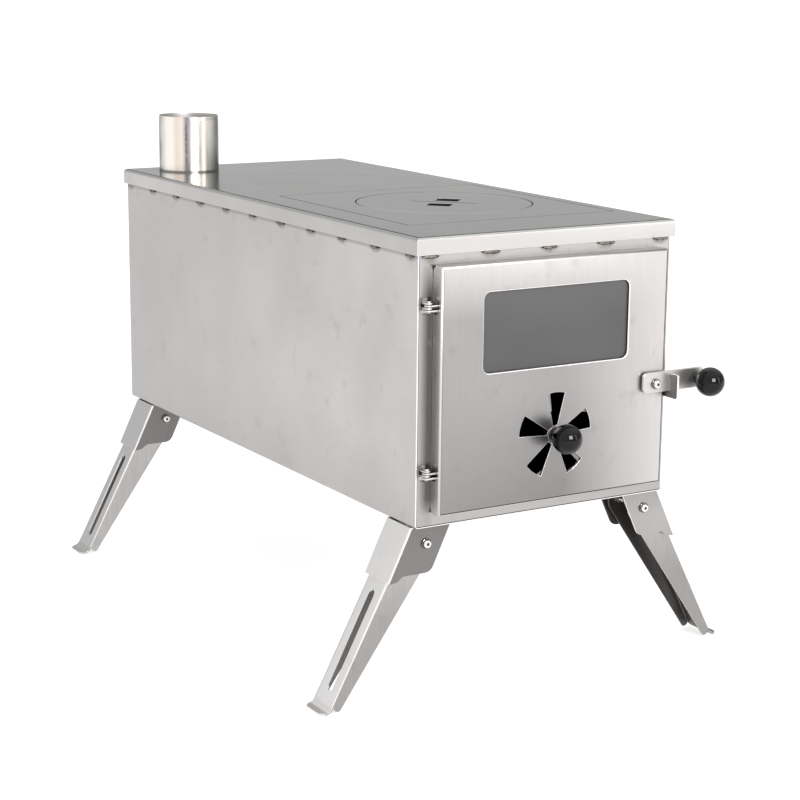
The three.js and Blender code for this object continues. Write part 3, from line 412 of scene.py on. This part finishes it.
# %% Picking things up
def take(piece):
    """Selects one piece and nothing else."""
    if bpy.context.object and bpy.context.object.mode != "OBJECT":
        bpy.ops.object.mode_set(mode="OBJECT")
    bpy.ops.object.select_all(action="DESELECT")
    piece.select_set(True)
    bpy.context.view_layer.objects.active = piece


def edit(piece, kind="FACE", select="DESELECT"):
    """Opens a piece with nothing in it selected, or everything."""
    take(piece)
    bpy.ops.object.mode_set(mode="EDIT")
    bpy.ops.mesh.select_mode(type=kind)
    bpy.ops.mesh.select_all(action=select)


def close():
    bpy.ops.object.mode_set(mode="OBJECT")


def pick(piece, wanted, kind="FACE"):
    """Opens a piece with the faces or edges selected that the rule wants."""
    edit(piece, kind)
    close()
    mesh = piece.data
    if kind == "FACE":
        for face in mesh.polygons:
            face.select = wanted(face)
    else:
        for edge in mesh.edges:
            edge.select = wanted(*(mesh.vertices[i].co for i in edge.vertices))
    bpy.ops.object.mode_set(mode="EDIT")


def faces_beside(mesh):
    """The faces on both sides of each edge."""
    beside = {}
    for face in mesh.polygons:
        for key in face.edge_keys:
            beside.setdefault(key, []).append(face)
    return beside


def bevel_keys(piece, keys, radius, segments, clamp):
    """Rounds the edges with these keys to a radius in mm."""
    edit(piece, "EDGE")
    close()
    for edge in piece.data.edges:
        edge.select = edge.key in keys
    bpy.ops.object.mode_set(mode="EDIT")
    bpy.ops.mesh.bevel(offset=radius * MM, segments=segments, affect="EDGES", clamp_overlap=clamp)
    close()
    return len(keys)


def round_only(piece, wanted, radius, segments):
    """Rounds the sharp edges that the rule wants, and leaves the others."""
    mesh = piece.data
    keys = set()
    for key, faces in faces_beside(mesh).items():
        if len(faces) == 2 and faces[0].normal.angle(faces[1].normal, 0) > math.radians(40):
            if wanted(*(mesh.vertices[i].co for i in key)):
                keys.add(key)
    return bevel_keys(piece, keys, radius, segments, True)


def paint(piece, finish, wanted):
    """Gives another finish to the faces that the rule wants."""
    piece.data.materials.append(finish)
    piece.active_material_index = len(piece.data.materials) - 1
    pick(piece, wanted)
    bpy.ops.object.material_slot_assign()
    close()


print("picking tools ready")


# %% Making and finishing
def primitive(name, add, **settings):
    """Adds a primitive, names it, and puts its place into its mesh."""
    bpy.ops.object.select_all(action="DESELECT")
    add(**settings)
    piece = bpy.context.object
    piece.name = name
    bpy.ops.object.transform_apply(location=True, rotation=True, scale=True)
    return piece


def modify(piece, kind, **settings):
    """Adds one modifier and applies it."""
    take(piece)
    modifier = piece.modifiers.new(kind.lower(), kind)
    for key, value in settings.items():
        setattr(modifier, key, value)
    bpy.ops.object.modifier_apply(modifier=modifier.name)


def round_edges(piece, width, angle=40, segments=2, clamp=True):
    """Bevels the sharp edges, and shades flat faces flat and bends smooth."""
    modify(piece, "BEVEL", width=width * MM, segments=segments, limit_method="ANGLE",
           angle_limit=math.radians(angle), use_clamp_overlap=clamp, miter_outer="MITER_ARC")
    shade(piece)


def shade(piece):
    edit(piece, "VERT", "SELECT")
    bpy.ops.mesh.dissolve_degenerate(threshold=0.0005 * MM)
    close()
    take(piece)
    bpy.ops.object.shade_smooth_by_angle(angle=math.radians(46))
    modify(piece, "WEIGHTED_NORMAL", keep_sharp=True, weight=50)


def place_copy(master, name, turn, place):
    """A copy with its own mesh, turned and set down."""
    piece = bpy.data.objects.new(name, master.data.copy())
    bpy.context.scene.collection.objects.link(piece)
    piece.matrix_world = Matrix.Translation(place) @ turn
    take(piece)
    bpy.ops.object.transform_apply(location=True, rotation=True, scale=True)
    return piece


def join_into(piece, others):
    take(piece)
    for other in others:
        other.select_set(True)
    bpy.ops.object.join()


def put_away(*pieces):
    for piece in pieces:
        bpy.data.objects.remove(piece)


def finish_piece(piece, body, finish, slot, *stands_for):
    piece.data.materials.clear()
    piece.data.materials.append(finish)
    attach(piece, body)
    if stands_for:
        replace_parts(piece, *stands_for)


print("making tools ready")

# %% [markdown]
# ## Sheet metal with real edges
#
# A cut edge of sheet steel is never sharp: a file or a tumbler has taken off a few tenths of a
# millimetre, and that thin rounding is what catches the light along every panel. The measured
# solids have the right form but knife edges, so each is copied, its flat faces are made whole and
# a bevel rounds what is left. Weighted normals then keep the wide faces flat in the reflections.


# %% Round the edges of the sheet pieces
def trued_copy(node):
    """A merged copy of a measured solid, with its flat faces whole again."""
    piece = bpy.data.objects.new(node + "_made", frame["nodes"][node].data.copy())
    bpy.context.scene.collection.objects.link(piece)
    edit(piece, "VERT", "SELECT")
    bpy.ops.mesh.remove_doubles(threshold=0.002 * MM)
    bpy.ops.mesh.dissolve_limited(angle_limit=math.radians(0.5))
    close()
    return piece


def rounded_sheet(node, finish, width, **how):
    piece = trued_copy(node)
    round_edges(piece, width, **how)
    finish_piece(piece, body_holding[node], finish, slot_of[node], node)
    return piece


# The lid's seat plate takes the dark shaded steel and the damper's washer the darker flange steel,
# both as painted shade.
plain_sheets = {
    "back_panel": (wall_steel, 0.3), "fire_grate": (dull_steel, 0.3),
    "smoke_baffle": (dull_steel, 0.3), "window_retainer": (dull_steel, 0.2),
    "lid_seat_plate": (shaded_steel, 0.2), "latch_arm": (bar_steel, 0.4),
    "damper_washer": (flange_steel, 0.15), "latch_washer": (dull_steel, 0.15),
    "latch_spacer": (dull_steel, 0.15), "window_glass": (finishes["smoked_glass"], 0.3),
}
for node, (finish, width) in plain_sheets.items():
    rounded_sheet(node, finish, width)
print("plain sheets:", len(plain_sheets))

# %% [markdown]
# ## The firebox walls and the front frame
#
# The wall sheet ends in a cut edge at the front corner, and a painted highlight runs down it
# beside the frame, whose strip there is painted dark as shade. Inside, the faces that look inwards
# are painted dark as shade. The same is done in the cap and the door.


# %% Walls and frame
def looks_in(face):
    """Whether a face of the wall sheet looks into the firebox."""
    return (face.normal.x * face.center.x < -0.01 * MM
            or face.normal.z > 0.3 and face.center.z < wall_low[2] + 6 * MM)


walls = rounded_sheet("body_wrap", wall_steel, 0.3)
# Painted shade on the faces that look in, and a painted highlight down the cut edge at the front.
paint(walls, shaded_steel, looks_in)
paint(walls, highlight_steel, lambda face: face.center.y < wall_low[1] + 1.0 * MM
      and face.center.z > wall_low[2] + 3 * MM)

front = rounded_sheet("front_frame", frame_steel, 0.35)
# Painted shade on the frame's back.
paint(front, shaded_steel, lambda face: face.normal.y > 0.5)
hinge_heights = [sum(corner[2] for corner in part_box("hinge_pin_" + which)) / 2
                 for which in ("upper", "lower")]


def in_hinge_slot(face, left, right):
    return (left * MM < face.center.x < right * MM and abs(face.normal.y) < 0.7
            and any(abs(face.center.z - height) < 8 * MM for height in hinge_heights))


# Painted shade in the hinge slots.
paint(front, shaded_steel, lambda face: in_hinge_slot(face, -124, -112))
# The catch is painted as a highlight, with painted shade on the face that looks left.
catch = rounded_sheet("latch_catch", highlight_steel, 0.35)
paint(catch, dull_steel, lambda face: face.normal.x < -0.9)
print("walls, frame and catch")

# %% [markdown]
# ## The cap and its lid
#
# The cap has a hairline pressed into it around the lid and the lid has a crease. Both are fine
# grooves, and the walls and floor of each are painted dark as shade.

# %% Cap and lid
CAP_TOP = cap_high[2]


def on_turned_rim(face):
    """Whether a face belongs to the cap's turned-down rim."""
    return face.center.z < CAP_TOP - 2 * MM


def near_outline(face, within):
    """Whether a face is this close, in mm, to the cap's front or sides."""
    return (abs(face.center.x) > cap_high[0] - within * MM
            or face.center.y < cap_low[1] + within * MM)


cap = rounded_sheet("top_plate", cap_steel, 0.25)
# Painted light and shade on the cap: a darker underside and side rim, a lighter front and back
# rim, painted highlights at the rim's corners and a painted dark line along the top's bend.
paint(cap, flange_steel, lambda face: face.normal.z < -0.5)
paint(cap, leg_steel, lambda face: abs(face.normal.x) > 0.7 and on_turned_rim(face))
paint(cap, rim_steel, lambda face: abs(face.normal.y) > 0.7 and on_turned_rim(face))
paint(cap, highlight_steel, lambda face: min(abs(face.normal.x), abs(face.normal.y)) > 0.35
      and on_turned_rim(face))
paint(cap, shaded_steel, lambda face: 0.75 < face.normal.z < 0.97
      and not on_turned_rim(face) and near_outline(face, 3.5))
# Painted shade in the pressed hairline and on the walls of the lid's hole.
paint(cap, shaded_steel, lambda face: face.center.z < CAP_TOP - 0.08 * MM and face.normal.z > -0.5
      and not near_outline(face, 4.5) and face.center.y < cap_high[1] - 4.5 * MM)
lid = rounded_sheet("cooktop_lid", cap_steel, 0.3)
# Painted shade in the lid's crease and on the walls of its rim.
paint(lid, shaded_steel, lambda face: face.center.z < CAP_TOP - 0.45 * MM)
print("cap and lid")

# %% [markdown]
# ## The door
#
# The door is a shallow pan. Its returns look sideways; the left one is painted as a highlight and
# the others darker as shade. Its bend carries painted highlights and dark lines, and the edges of
# the window and of the openings punched for the air carry painted highlights, with painted shade
# on their walls.

# %% Door and damper disc
FACE_Y = door_low[1]
glass_low, glass_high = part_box("window_glass")
fan_x, fan_z = 1 * MM, 214.8 * MM
DOOR_BEND = 2.0
BEND_REACH = DOOR_BEND + 0.1


def on_face(*points):
    """Whether all the points lie in the door's front face."""
    return all(abs(point.y - FACE_Y) < 0.05 * MM for point in points)


def at_rim(point, within):
    """Whether a point is this close, in mm, to the door's outline."""
    return min(point.x - door_low[0], door_high[0] - point.x,
               point.z - door_low[2], door_high[2] - point.z) < within * MM


def in_window(point):
    return glass_low[0] < point.x < glass_high[0] and glass_low[2] < point.z < glass_high[2]


def in_fan(point):
    return math.hypot(point.x - fan_x, point.z - fan_z) < 40 * MM


door = trued_copy("door_panel")
rim = round_only(door, lambda a, b: on_face(a, b) and at_rim(a, 0.1) and at_rim(b, 0.1),
                 DOOR_BEND, 6)
framed = round_only(door, lambda a, b: on_face(a, b) and in_window(a) and in_window(b), 0.8, 2)
punched = round_only(door, lambda a, b: on_face(a, b) and in_fan(a) and in_fan(b), 0.45, 2)
shade(door)
finish_piece(door, "door", door_steel, "front_steel", "door_panel")
# Painted shade on the door's back, a painted highlight on its left return, shaded copies on its
# other returns and painted shade in its hinge slots.
paint(door, shaded_steel, lambda face: face.normal.y > 0.5)
paint(door, highlight_steel, lambda face: abs(face.normal.y) < 0.3 and at_rim(face.center, 0.3)
      and face.normal.x < -0.5)
paint(door, flange_steel, lambda face: abs(face.normal.y) < 0.3 and at_rim(face.center, 0.3)
      and face.normal.x > -0.5)
paint(door, shaded_steel, lambda face: in_hinge_slot(face, -112, -104))
# Painted highlights and dark lines along the rim's bend.
paint(door, rim_steel, lambda face: 0.25 < -face.normal.y < 0.9
      and at_rim(face.center, BEND_REACH))
paint(door, bar_steel, lambda face: face.normal.x < -0.35 and 0.25 < -face.normal.y < 0.94
      and face.center.x < door_low[0] + BEND_REACH * MM)
paint(door, shaded_steel, lambda face: 0.94 < -face.normal.y < 0.995
      and at_rim(face.center, BEND_REACH) and face.center.x > 0
      and face.center.z < door_high[2] - BEND_REACH * MM)
paint(door, shaded_steel, lambda face: 0.9 < -face.normal.y < 0.995
      and face.center.z < door_low[2] + BEND_REACH * MM)
paint(door, dull_steel, lambda face: 0.94 < -face.normal.y < 0.995
      and face.center.x < door_low[0] + BEND_REACH * MM)
# Painted shade on the walls of the window and the fan openings, and painted highlights on their
# rounded edges.
paint(door, shaded_steel, lambda face: abs(face.normal.y) < 0.35
      and (in_window(face.center) or in_fan(face.center)))
paint(door, highlight_steel, lambda face: 0.35 < -face.normal.y < 0.98
      and (in_window(face.center) or in_fan(face.center)))
disc = rounded_sheet("damper_disc", dull_steel, 0.35)
# Painted shade on the disc's back and painted highlights on its small edge faces.
paint(disc, shaded_steel, lambda face: face.normal.y > 0.5)
paint(disc, highlight_steel, lambda face: abs(face.normal.y) < 0.9 and face.area < 60 * MM * MM)
print("edges rounded on the rim, the window and the fan:", rim, framed, punched)

# %% [markdown]
# ## Bent channels: brackets and legs
#
# A leg is a channel folded from one strip. A press cannot fold a sharp corner, so the outside of
# each fold has a radius of about the sheet's own thickness plus the tool's. The folds are the long
# edges where a flange meets the web. They are found by the faces on both sides, rounded first with
# an edge bevel, and the cut edges follow with the fine bevel of every other sheet.


# %% Fold radii
BRACKET_FOLD, LEG_FOLD, INNER_FOLD = 2.2, 2.4, 0.8
BROAD = 60 * MM * MM


def folds(piece, outside):
    """The long edges between a flange (facing +-Y) and a web, outside or inside the fold."""
    mesh = piece.data
    beside = faces_beside(mesh)
    found = []
    for edge in mesh.edges:
        faces = beside.get(edge.key, [])
        ends = [mesh.vertices[i].co for i in edge.vertices]
        length = (ends[0] - ends[1]).length
        if len(faces) != 2 or length < 8 * MM:
            continue
        flange, web = sorted(faces, key=lambda face: -abs(face.normal.y))
        if abs(flange.normal.y) < 0.99 or abs(web.normal.y) > 0.02 or web.area / length < 5 * MM:
            continue
        convex = (web.center - flange.center).dot(flange.normal) < 0
        if convex == outside:
            found.append(edge.key)
    return set(found)


def channel(node, web_finish, side_finish, radius):
    piece = trued_copy(node)
    low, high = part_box(node)
    middle_y = (low[1] + high[1]) / 2
    outwards = 1 if low[0] + high[0] > 0 else -1
    count = bevel_keys(piece, folds(piece, True), radius, 4, False)
    count += bevel_keys(piece, folds(piece, False), INNER_FOLD, 4, False)
    round_edges(piece, 0.3, clamp=False)
    finish_piece(piece, body_holding[node], web_finish, slot_of[node], node)
    # Lit and shaded copies: the flanges take the shaded side finish, the folds painted highlights
    # and the broad inner faces painted shade.
    paint(piece, side_finish, lambda face: abs(face.normal.y) > 0.9)
    paint(piece, highlight_steel, lambda face: 0.3 < abs(face.normal.y) < 0.9
          and face.area > 12 * MM * MM)
    paint(piece, leg_inside_shade, lambda face: face.area > BROAD and (
        face.normal.x * outwards < -0.4
        or face.normal.y * (1 if face.center.y < middle_y else -1) > 0.9))
    # A painted highlight along a bracket's top edge.
    if node.startswith("leg_bracket"):
        paint(piece, highlight_steel, lambda face: face.normal.z > 0.3
              and face.center.z > high[2] - 1 * MM)
    # More painted shade on the inner faces and, on the right, on the aft flange.
    if outwards < 0:
        paint(piece, shaded_steel, lambda face: face.normal.x > 0.4 and face.area > BROAD)
    else:
        paint(piece, leg_inside_shade, lambda face: face.center.y > middle_y and face.normal.x < 0.2)
    return count


fold_count = 0
for corner in ("front_left", "front_right", "rear_left", "rear_right"):
    fold_count += channel("leg_bracket_" + corner, web_steel, bracket_steel, BRACKET_FOLD)
    fold_count += channel("leg_" + corner, web_steel, flange_steel, LEG_FOLD)
print("folds rounded:", fold_count)

# %% [markdown]
# ## Hinges
#
# Each hinge is two leaves whose knuckles interleave on a pin. They are small and thick for their
# size, so their edges are barely broken. The knuckles stay bright, and the faces between them,
# which look up and down, are painted dark as shade.

# %% Hinge leaves and pins
for height in ("upper", "lower"):
    for part in ("frame_leaf", "door_leaf", "pin"):
        piece = rounded_sheet(f"hinge_{part}_{height}", bar_steel, 0.35)
        # Painted shade on the faces that look up and down.
        paint(piece, shaded_steel, lambda face: abs(face.normal.z) > 0.6)
print("hinges: 2")

# %% [markdown]
# ## Button-head screws
#
# The legs and the latch turn on hex socket screws with low domed heads. A screw is modelled along
# the Y axis: a cylinder's front rim is bevelled wide enough to make the dome, a six-sided key is
# cut out of it, and a washer and a shank are joined on. Each copy is given its own turn, because
# nobody lines up the sockets of screws.

# %% One screw
HEAD_RADIUS, HEAD_HEIGHT, WASHER, SHANK_RADIUS = 3.6 * MM, 2.3 * MM, 0.8 * MM, 2.0 * MM
AIM_BACK = (math.radians(90), 0, 0)


def rod(name, radius, front, back, sides=40):
    """A cylinder along Y from its front to its back."""
    return primitive(name, bpy.ops.mesh.primitive_cylinder_add, vertices=sides, radius=radius,
                     depth=back - front, location=(0, (front + back) / 2, 0), rotation=AIM_BACK)


def screw(name, washer_radius, length):
    """Its washer's back is at y = 0, its head points to -Y and its shank to +Y."""
    head = rod(name, HEAD_RADIUS, -WASHER - HEAD_HEIGHT, -WASHER + 0.1 * MM)
    pick(head, lambda face: face.normal.y < -0.9)
    bpy.ops.mesh.bevel(offset=1.45 * MM, segments=6, affect="EDGES", profile=0.55)
    close()
    top = -WASHER - HEAD_HEIGHT
    key = rod("key", 1.5 * MM, top - 1 * MM, top + 1.3 * MM, 6)
    modify(head, "BOOLEAN", operation="DIFFERENCE", object=key, solver="EXACT")
    put_away(key)
    round_edges(head, 0.08, 50, 1)
    face = rod("washer", washer_radius, -WASHER, 0, 48)
    round_edges(face, 0.15)
    shank = rod("shank", SHANK_RADIUS, -0.2 * MM, length, 24)
    round_edges(shank, 0.4)
    join_into(head, [face, shank])
    return head


leg_screw = screw("leg_screw_master", 4.55 * MM, 12 * MM)
latch_screw = screw("latch_screw_master", 4.2 * MM, 12 * MM)
print("screw faces:", len(leg_screw.data.polygons))


# %% Set the screws
def set_screw(master, node, aft, spin):
    """Sets a copy where a measured screw is; an aft one has its head to the back."""
    low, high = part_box(node)
    centre_x, centre_z = (low[0] + high[0]) / 2, (low[2] + high[2]) / 2
    seat_y = high[1] - WASHER - HEAD_HEIGHT if aft else low[1] + WASHER + HEAD_HEIGHT
    half_turn = Matrix.Rotation(math.pi if aft else 0, 4, "Z")
    turn = half_turn @ Matrix.Rotation(math.radians(spin), 4, "Y")
    piece = place_copy(master, node + "_made", turn, (centre_x, seat_y, centre_z))
    finish_piece(piece, body_holding[node], bright_steel, slot_of[node], node)

    def off_axis(face):
        return math.hypot(face.center.x - centre_x, face.center.z - centre_z)

    socket_from, socket_to = ((high[1] - 3 * MM, high[1] - 0.7 * MM) if aft
                              else (low[1] + 0.7 * MM, low[1] + 3 * MM))
    # Painted shade in the hex socket and a painted dark ring on the washer's side.
    paint(piece, shaded_steel, lambda face: off_axis(face) < 1.6 * MM
          and socket_from < face.center.y < socket_to)
    paint(piece, shaded_steel, lambda face: abs(face.normal.y) < 0.9
          and off_axis(face) > 4.0 * MM)


spins = iter((12, 41, 25, 7, 52, 33, 18, 47, 20))
for corner in ("front_left", "front_right", "rear_left", "rear_right"):
    for flange in ("fore", "aft"):
        set_screw(leg_screw, f"leg_screw_{corner}_{flange}", flange == "aft", next(spins))
set_screw(latch_screw, "latch_pivot_screw", False, next(spins))
put_away(leg_screw, latch_screw)
print("screws set: 9")

# %% [markdown]
# ## Ball knobs
#
# A moulded ball with a short neck. A sphere with its poles on the Y axis is cut off where the neck
# begins, the open rim is drawn out to the neck's foot, closed, and bored for its screw.

# %% Knobs
BALL_RADIUS, NECK_RADIUS, STANDOFF = 12.5 * MM, 5.0 * MM, 15.5 * MM


def ball_knob():
    knob = primitive("knob_master", bpy.ops.mesh.primitive_uv_sphere_add, segments=64,
                     ring_count=32, radius=BALL_RADIUS, rotation=(math.radians(-90), 0, 0))
    neck_start = math.sqrt(BALL_RADIUS ** 2 - NECK_RADIUS ** 2)
    edit(knob, "FACE", "SELECT")
    bpy.ops.mesh.bisect(plane_co=(0, neck_start, 0), plane_no=(0, 1, 0), clear_outer=True)
    close()
    pick(knob, lambda a, b: min(a.y, b.y) > neck_start - 0.01 * MM, "EDGE")
    neck = (0, STANDOFF - neck_start, 0)
    bpy.ops.mesh.extrude_region_move(TRANSFORM_OT_translate={"value": neck})
    bpy.ops.mesh.edge_face_add()
    bpy.ops.mesh.inset(thickness=1.6 * MM)
    bpy.ops.mesh.extrude_region_move(TRANSFORM_OT_translate={"value": (0, -4 * MM, 0)})
    bpy.ops.mesh.select_all(action="SELECT")
    bpy.ops.mesh.normals_make_consistent(inside=False)
    close()
    round_edges(knob, 0.3)
    return knob


knob_master = ball_knob()
for node in ("damper_knob", "latch_knob"):
    low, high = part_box(node)
    centre = ((low[0] + high[0]) / 2, low[1] + BALL_RADIUS, (low[2] + high[2]) / 2)
    knob = place_copy(knob_master, node + "_made", Matrix.Identity(4), centre)
    finish_piece(knob, body_holding[node], finishes["black_resin"], "black_resin", node)
put_away(knob_master)
print("knobs: 2")

# %% [markdown]
# ## The flue collar
#
# A strip of sheet is rolled into a tube and welded along one line; a stove pipe slips over it. The
# tube starts as an open cylinder with its foot turned out, its mouth drawn in a little, and a wall
# put on inwards. The weld is a thin ragged bead that runs down the side the photographer sees.

# %% The tube
RIM_Z, FOOT_Z = collar_high[2], cap_low[2] + 11 * MM
tube = primitive("flue_collar_made", bpy.ops.mesh.primitive_cylinder_add, vertices=128,
                 radius=COLLAR_RADIUS, depth=RIM_Z - FOOT_Z, end_fill_type="NOTHING",
                 location=(collar_x, collar_y, (RIM_Z + FOOT_Z) / 2))
for height in (RIM_Z - 4.2 * MM, RIM_Z - 3.4 * MM):
    edit(tube, "FACE", "SELECT")
    bpy.ops.mesh.bisect(plane_co=(0, 0, height), plane_no=(0, 0, 1))
    close()
pick(tube, lambda a, b: min(a.z, b.z) > RIM_Z - 3.5 * MM, "EDGE")
bpy.context.scene.tool_settings.transform_pivot_point = "MEDIAN_POINT"
bpy.ops.transform.resize(value=(0.990, 0.990, 1), center_override=(collar_x, collar_y, RIM_Z))
close()
pick(tube, lambda a, b: max(a.z, b.z) < FOOT_Z + 0.01 * MM, "EDGE")
bpy.ops.mesh.extrude_region_move()
foot_share = 33.5 / 30
bpy.ops.transform.resize(value=(foot_share, foot_share, 1),
                         center_override=(collar_x, collar_y, FOOT_Z))
close()
edit(tube, "FACE", "SELECT")
bpy.ops.mesh.normals_make_consistent(inside=False)
close()
modify(tube, "SOLIDIFY", thickness=1.0 * MM, offset=-1)
round_edges(tube, 0.3)
finish_piece(tube, "root", tube_finish, "bright_steel", "flue_collar")
tube_inside = brushed_steel("tube_inside", (0.62, 0.60, 0.585), (0.55, 0.535, 0.52), 0.5, "z",
                            0.05)
paint(tube, tube_inside, lambda face: math.hypot(
    face.center.x - collar_x, face.center.y - collar_y) < COLLAR_RADIUS - 0.7 * MM)
paint(tube, flange_steel, lambda face: face.center.z > RIM_Z - 0.5 * MM)
print("tube faces:", len(tube.data.polygons))

# %% Its weld seam
ripple = bpy.data.textures.new("ripple", "CLOUDS")
ripple.noise_scale = 3.2 * MM
seam_x = collar_x + math.sin(SEAM_TURN) * (COLLAR_RADIUS - 0.25 * MM)
seam_y = collar_y - math.cos(SEAM_TURN) * (COLLAR_RADIUS - 0.25 * MM)
seam_top = RIM_Z - 5 * MM
seam = primitive("collar_seam", bpy.ops.mesh.primitive_cylinder_add, vertices=14,
                 radius=0.75 * MM, depth=seam_top - CAP_TOP,
                 location=(seam_x, seam_y, (seam_top + CAP_TOP) / 2))
pick(seam, lambda a, b: abs(a.z - b.z) > 10 * MM, "EDGE")
bpy.ops.mesh.subdivide(number_cuts=64)
close()
modify(seam, "DISPLACE", texture=ripple, texture_coords="LOCAL", strength=1.5 * MM, mid_level=0.45)
take(seam)
bpy.ops.object.shade_smooth_by_angle(angle=math.radians(60))
finish_piece(seam, "root", weld, "bright_steel")
print("seam bead faces:", len(seam.data.polygons))

# %% [markdown]
# ## Weld tacks under the cap
#
# A welder lays a few short beads instead of one long one, so the thin sheets don't warp. One bead
# is a stretched ball, roughened with a cloud texture. Its copies vary a little in length, and each
# row is joined into one piece.


# %% Tacks
def tack_row(name, across, places, seed):
    """A row of beads; across is True where the row runs along X."""
    luck = random.Random(seed)
    beads = []
    for index, place in enumerate(places):
        bead = primitive(f"bead_{index}", bpy.ops.mesh.primitive_uv_sphere_add, segments=28,
                         ring_count=14, radius=1)
        length = (luck.uniform(7.0, 9.0) if across else luck.uniform(4.5, 7.0)) * MM
        size = (length, 1.5 * MM, 1.6 * MM) if across else (1.5 * MM, length, 1.6 * MM)
        bead.matrix_world = Matrix.Translation(place) @ Matrix.Diagonal((*size, 1))
        take(bead)
        bpy.ops.object.transform_apply(location=True, rotation=True, scale=True)
        beads.append(bead)
    join_into(beads[0], beads[1:])
    row = beads[0]
    row.name = name
    modify(row, "DISPLACE", texture=ripple, texture_coords="LOCAL", strength=1.4 * MM,
           mid_level=0.5)
    take(row)
    bpy.ops.object.shade_smooth_by_angle(angle=math.radians(60))
    finish_piece(row, "root", weld, "panel_steel")
    return len(beads)


side_places = [SIDE_FIRST + SIDE_PITCH * k for k in range(SIDE_TACKS)]
front_places = [FRONT_FIRST + FRONT_PITCH * k for k in range(FRONT_TACKS)]
TACK_OFF = 1.3 * MM
count = 0
for side, x, seed in (("left", wall_low[0] - TACK_OFF, 3), ("right", wall_high[0] + TACK_OFF, 5)):
    count += tack_row("tacks_" + side, False, [(x, y, TACK_HEIGHT) for y in side_places], seed)
for side, y, seed in (("front", wall_low[1] - TACK_OFF, 8), ("back", wall_high[1] + TACK_OFF, 9)):
    count += tack_row("tacks_" + side, True, [(x, y, TACK_HEIGHT) for x in front_places], seed)
print("tacks:", count)

# %% [markdown]
# ## What is left as it was measured
#
# Nuts, the spindle and the fibre around the glass are hidden or tiny, so their measured solids
# only take a finish.

# %% Finish the rest
stood_for = {node for piece in bpy.data.objects for node in piece.get("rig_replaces", [])}
for node, solid in frame["nodes"].items():
    if node not in stood_for:
        solid.data.materials.clear()
        solid.data.materials.append(finishes[slot_of[node]])
print("measured solids shown:", len(frame["nodes"]) - len(stood_for))

# %% [markdown]
# ## The photographer's view
#
# The camera stands where it must to see the firebox's edges run as they do in the picture: in
# front, to the left and a little above, with a long lens.

# %% Camera
VIEW_FROM = Vector((-0.9260, -1.5647, 0.5970))
VIEW_YAW = 31.10
VIEW_PITCH = 12.61
VIEW_ROLL = 0.556
yaw, pitch, roll = (math.radians(a) for a in (VIEW_YAW, VIEW_PITCH, VIEW_ROLL))
forward = Vector((math.sin(yaw) * math.cos(pitch), math.cos(yaw) * math.cos(pitch),
                  -math.sin(pitch)))
level = Vector((math.cos(yaw), -math.sin(yaw), 0))
upright = level.cross(forward)
right = level * math.cos(roll) + upright * math.sin(roll)
up = upright * math.cos(roll) - level * math.sin(roll)
lens = bpy.data.cameras.new("view")
lens.lens = 88.85
lens.sensor_width = 36
lens.clip_end = 500
camera = bpy.data.objects.new("view", lens)
facing = Matrix((right, up, -forward)).transposed().to_4x4()
camera.matrix_world = Matrix.Translation(VIEW_FROM) @ facing
bpy.context.scene.collection.objects.link(camera)
bpy.context.scene.camera = camera
print("camera at:", [round(c, 3) for c in VIEW_FROM])

# %% [markdown]
# ## A white studio
#
# Polished sheet shows its surroundings more than itself. The floor is a wide white sweep that
# glows a little, as a lit table does. The horizon is darker than the zenith, so the cap reads
# darker than the walls. One soft box stands high in front and another, dim and tall, to the right.


# %% Floor
FLOOR_SIDE = 400
floor = primitive("studio_floor", bpy.ops.mesh.primitive_plane_add, size=FLOOR_SIDE,
                  location=(0, 0, -0.6 * MM))
paper = bpy.data.materials.new("studio_paper")
paper.use_nodes = True
surface = paper.node_tree.nodes["Principled BSDF"]
surface.inputs["Base Color"].default_value = (0.4, 0.4, 0.4, 1)
surface.inputs["Roughness"].default_value = 0.9
surface.inputs["Specular IOR Level"].default_value = 0.0
surface.inputs["Emission Color"].default_value = (1, 1, 1, 1)
surface.inputs["Emission Strength"].default_value = 0.74
floor.data.materials.append(paper)
print("floor side m:", FLOOR_SIDE)


# %% Sky and soft boxes
def soft_box(name, place, target, size, radiance):
    """A rectangular lamp; its power follows from its radiance and its area."""
    light = bpy.data.lights.new(name, "AREA")
    light.shape = "RECTANGLE"
    light.size, light.size_y = size
    light.energy = radiance * math.pi * size[0] * size[1]
    lamp = bpy.data.objects.new(name, light)
    aim = (Vector(target) - Vector(place)).to_track_quat("-Z", "Y")
    lamp.matrix_world = Matrix.Translation(place) @ aim.to_matrix().to_4x4()
    bpy.context.scene.collection.objects.link(lamp)


sky = bpy.data.worlds.new("studio")
sky.use_nodes = True
bpy.context.scene.world = sky
tree = sky.node_tree
direction = tree.nodes.new("ShaderNodeTexCoord").outputs["Generated"]
height = tree.nodes.new("ShaderNodeSeparateXYZ")
tree.links.new(direction, height.inputs[0])
ramp = tree.nodes.new("ShaderNodeValToRGB")
stops = ramp.color_ramp.elements
stops[0].position, stops[0].color = 0.0, (0.36, 0.365, 0.36, 1)
stops[1].position, stops[1].color = 0.8, (1.0, 1.0, 1.0, 1)
middle = stops.new(0.36)
middle.color = (0.36, 0.365, 0.36, 1)
tree.links.new(height.outputs["Z"], ramp.inputs["Fac"])
leftwards = spread(tree, height.outputs["X"], 1, 0, (-0.7, -0.2))
glow = blend(tree, leftwards, ramp.outputs["Color"], (0.85, 0.85, 0.86))
tree.links.new(glow, tree.nodes["Background"].inputs["Color"])
tree.nodes["Background"].inputs["Strength"].default_value = 1.4
soft_box("soft_box_front", (-0.2, -2.3, 1.15), (0, -0.2, 0.25), (1.0, 0.95), 19)
soft_box("soft_box_side", (1.35, -1.9, 0.9), (0, -0.2, 0.25), (0.5, 1.3), 2.6)
bpy.context.scene.view_settings.view_transform = "Standard"
print("soft boxes: 2")
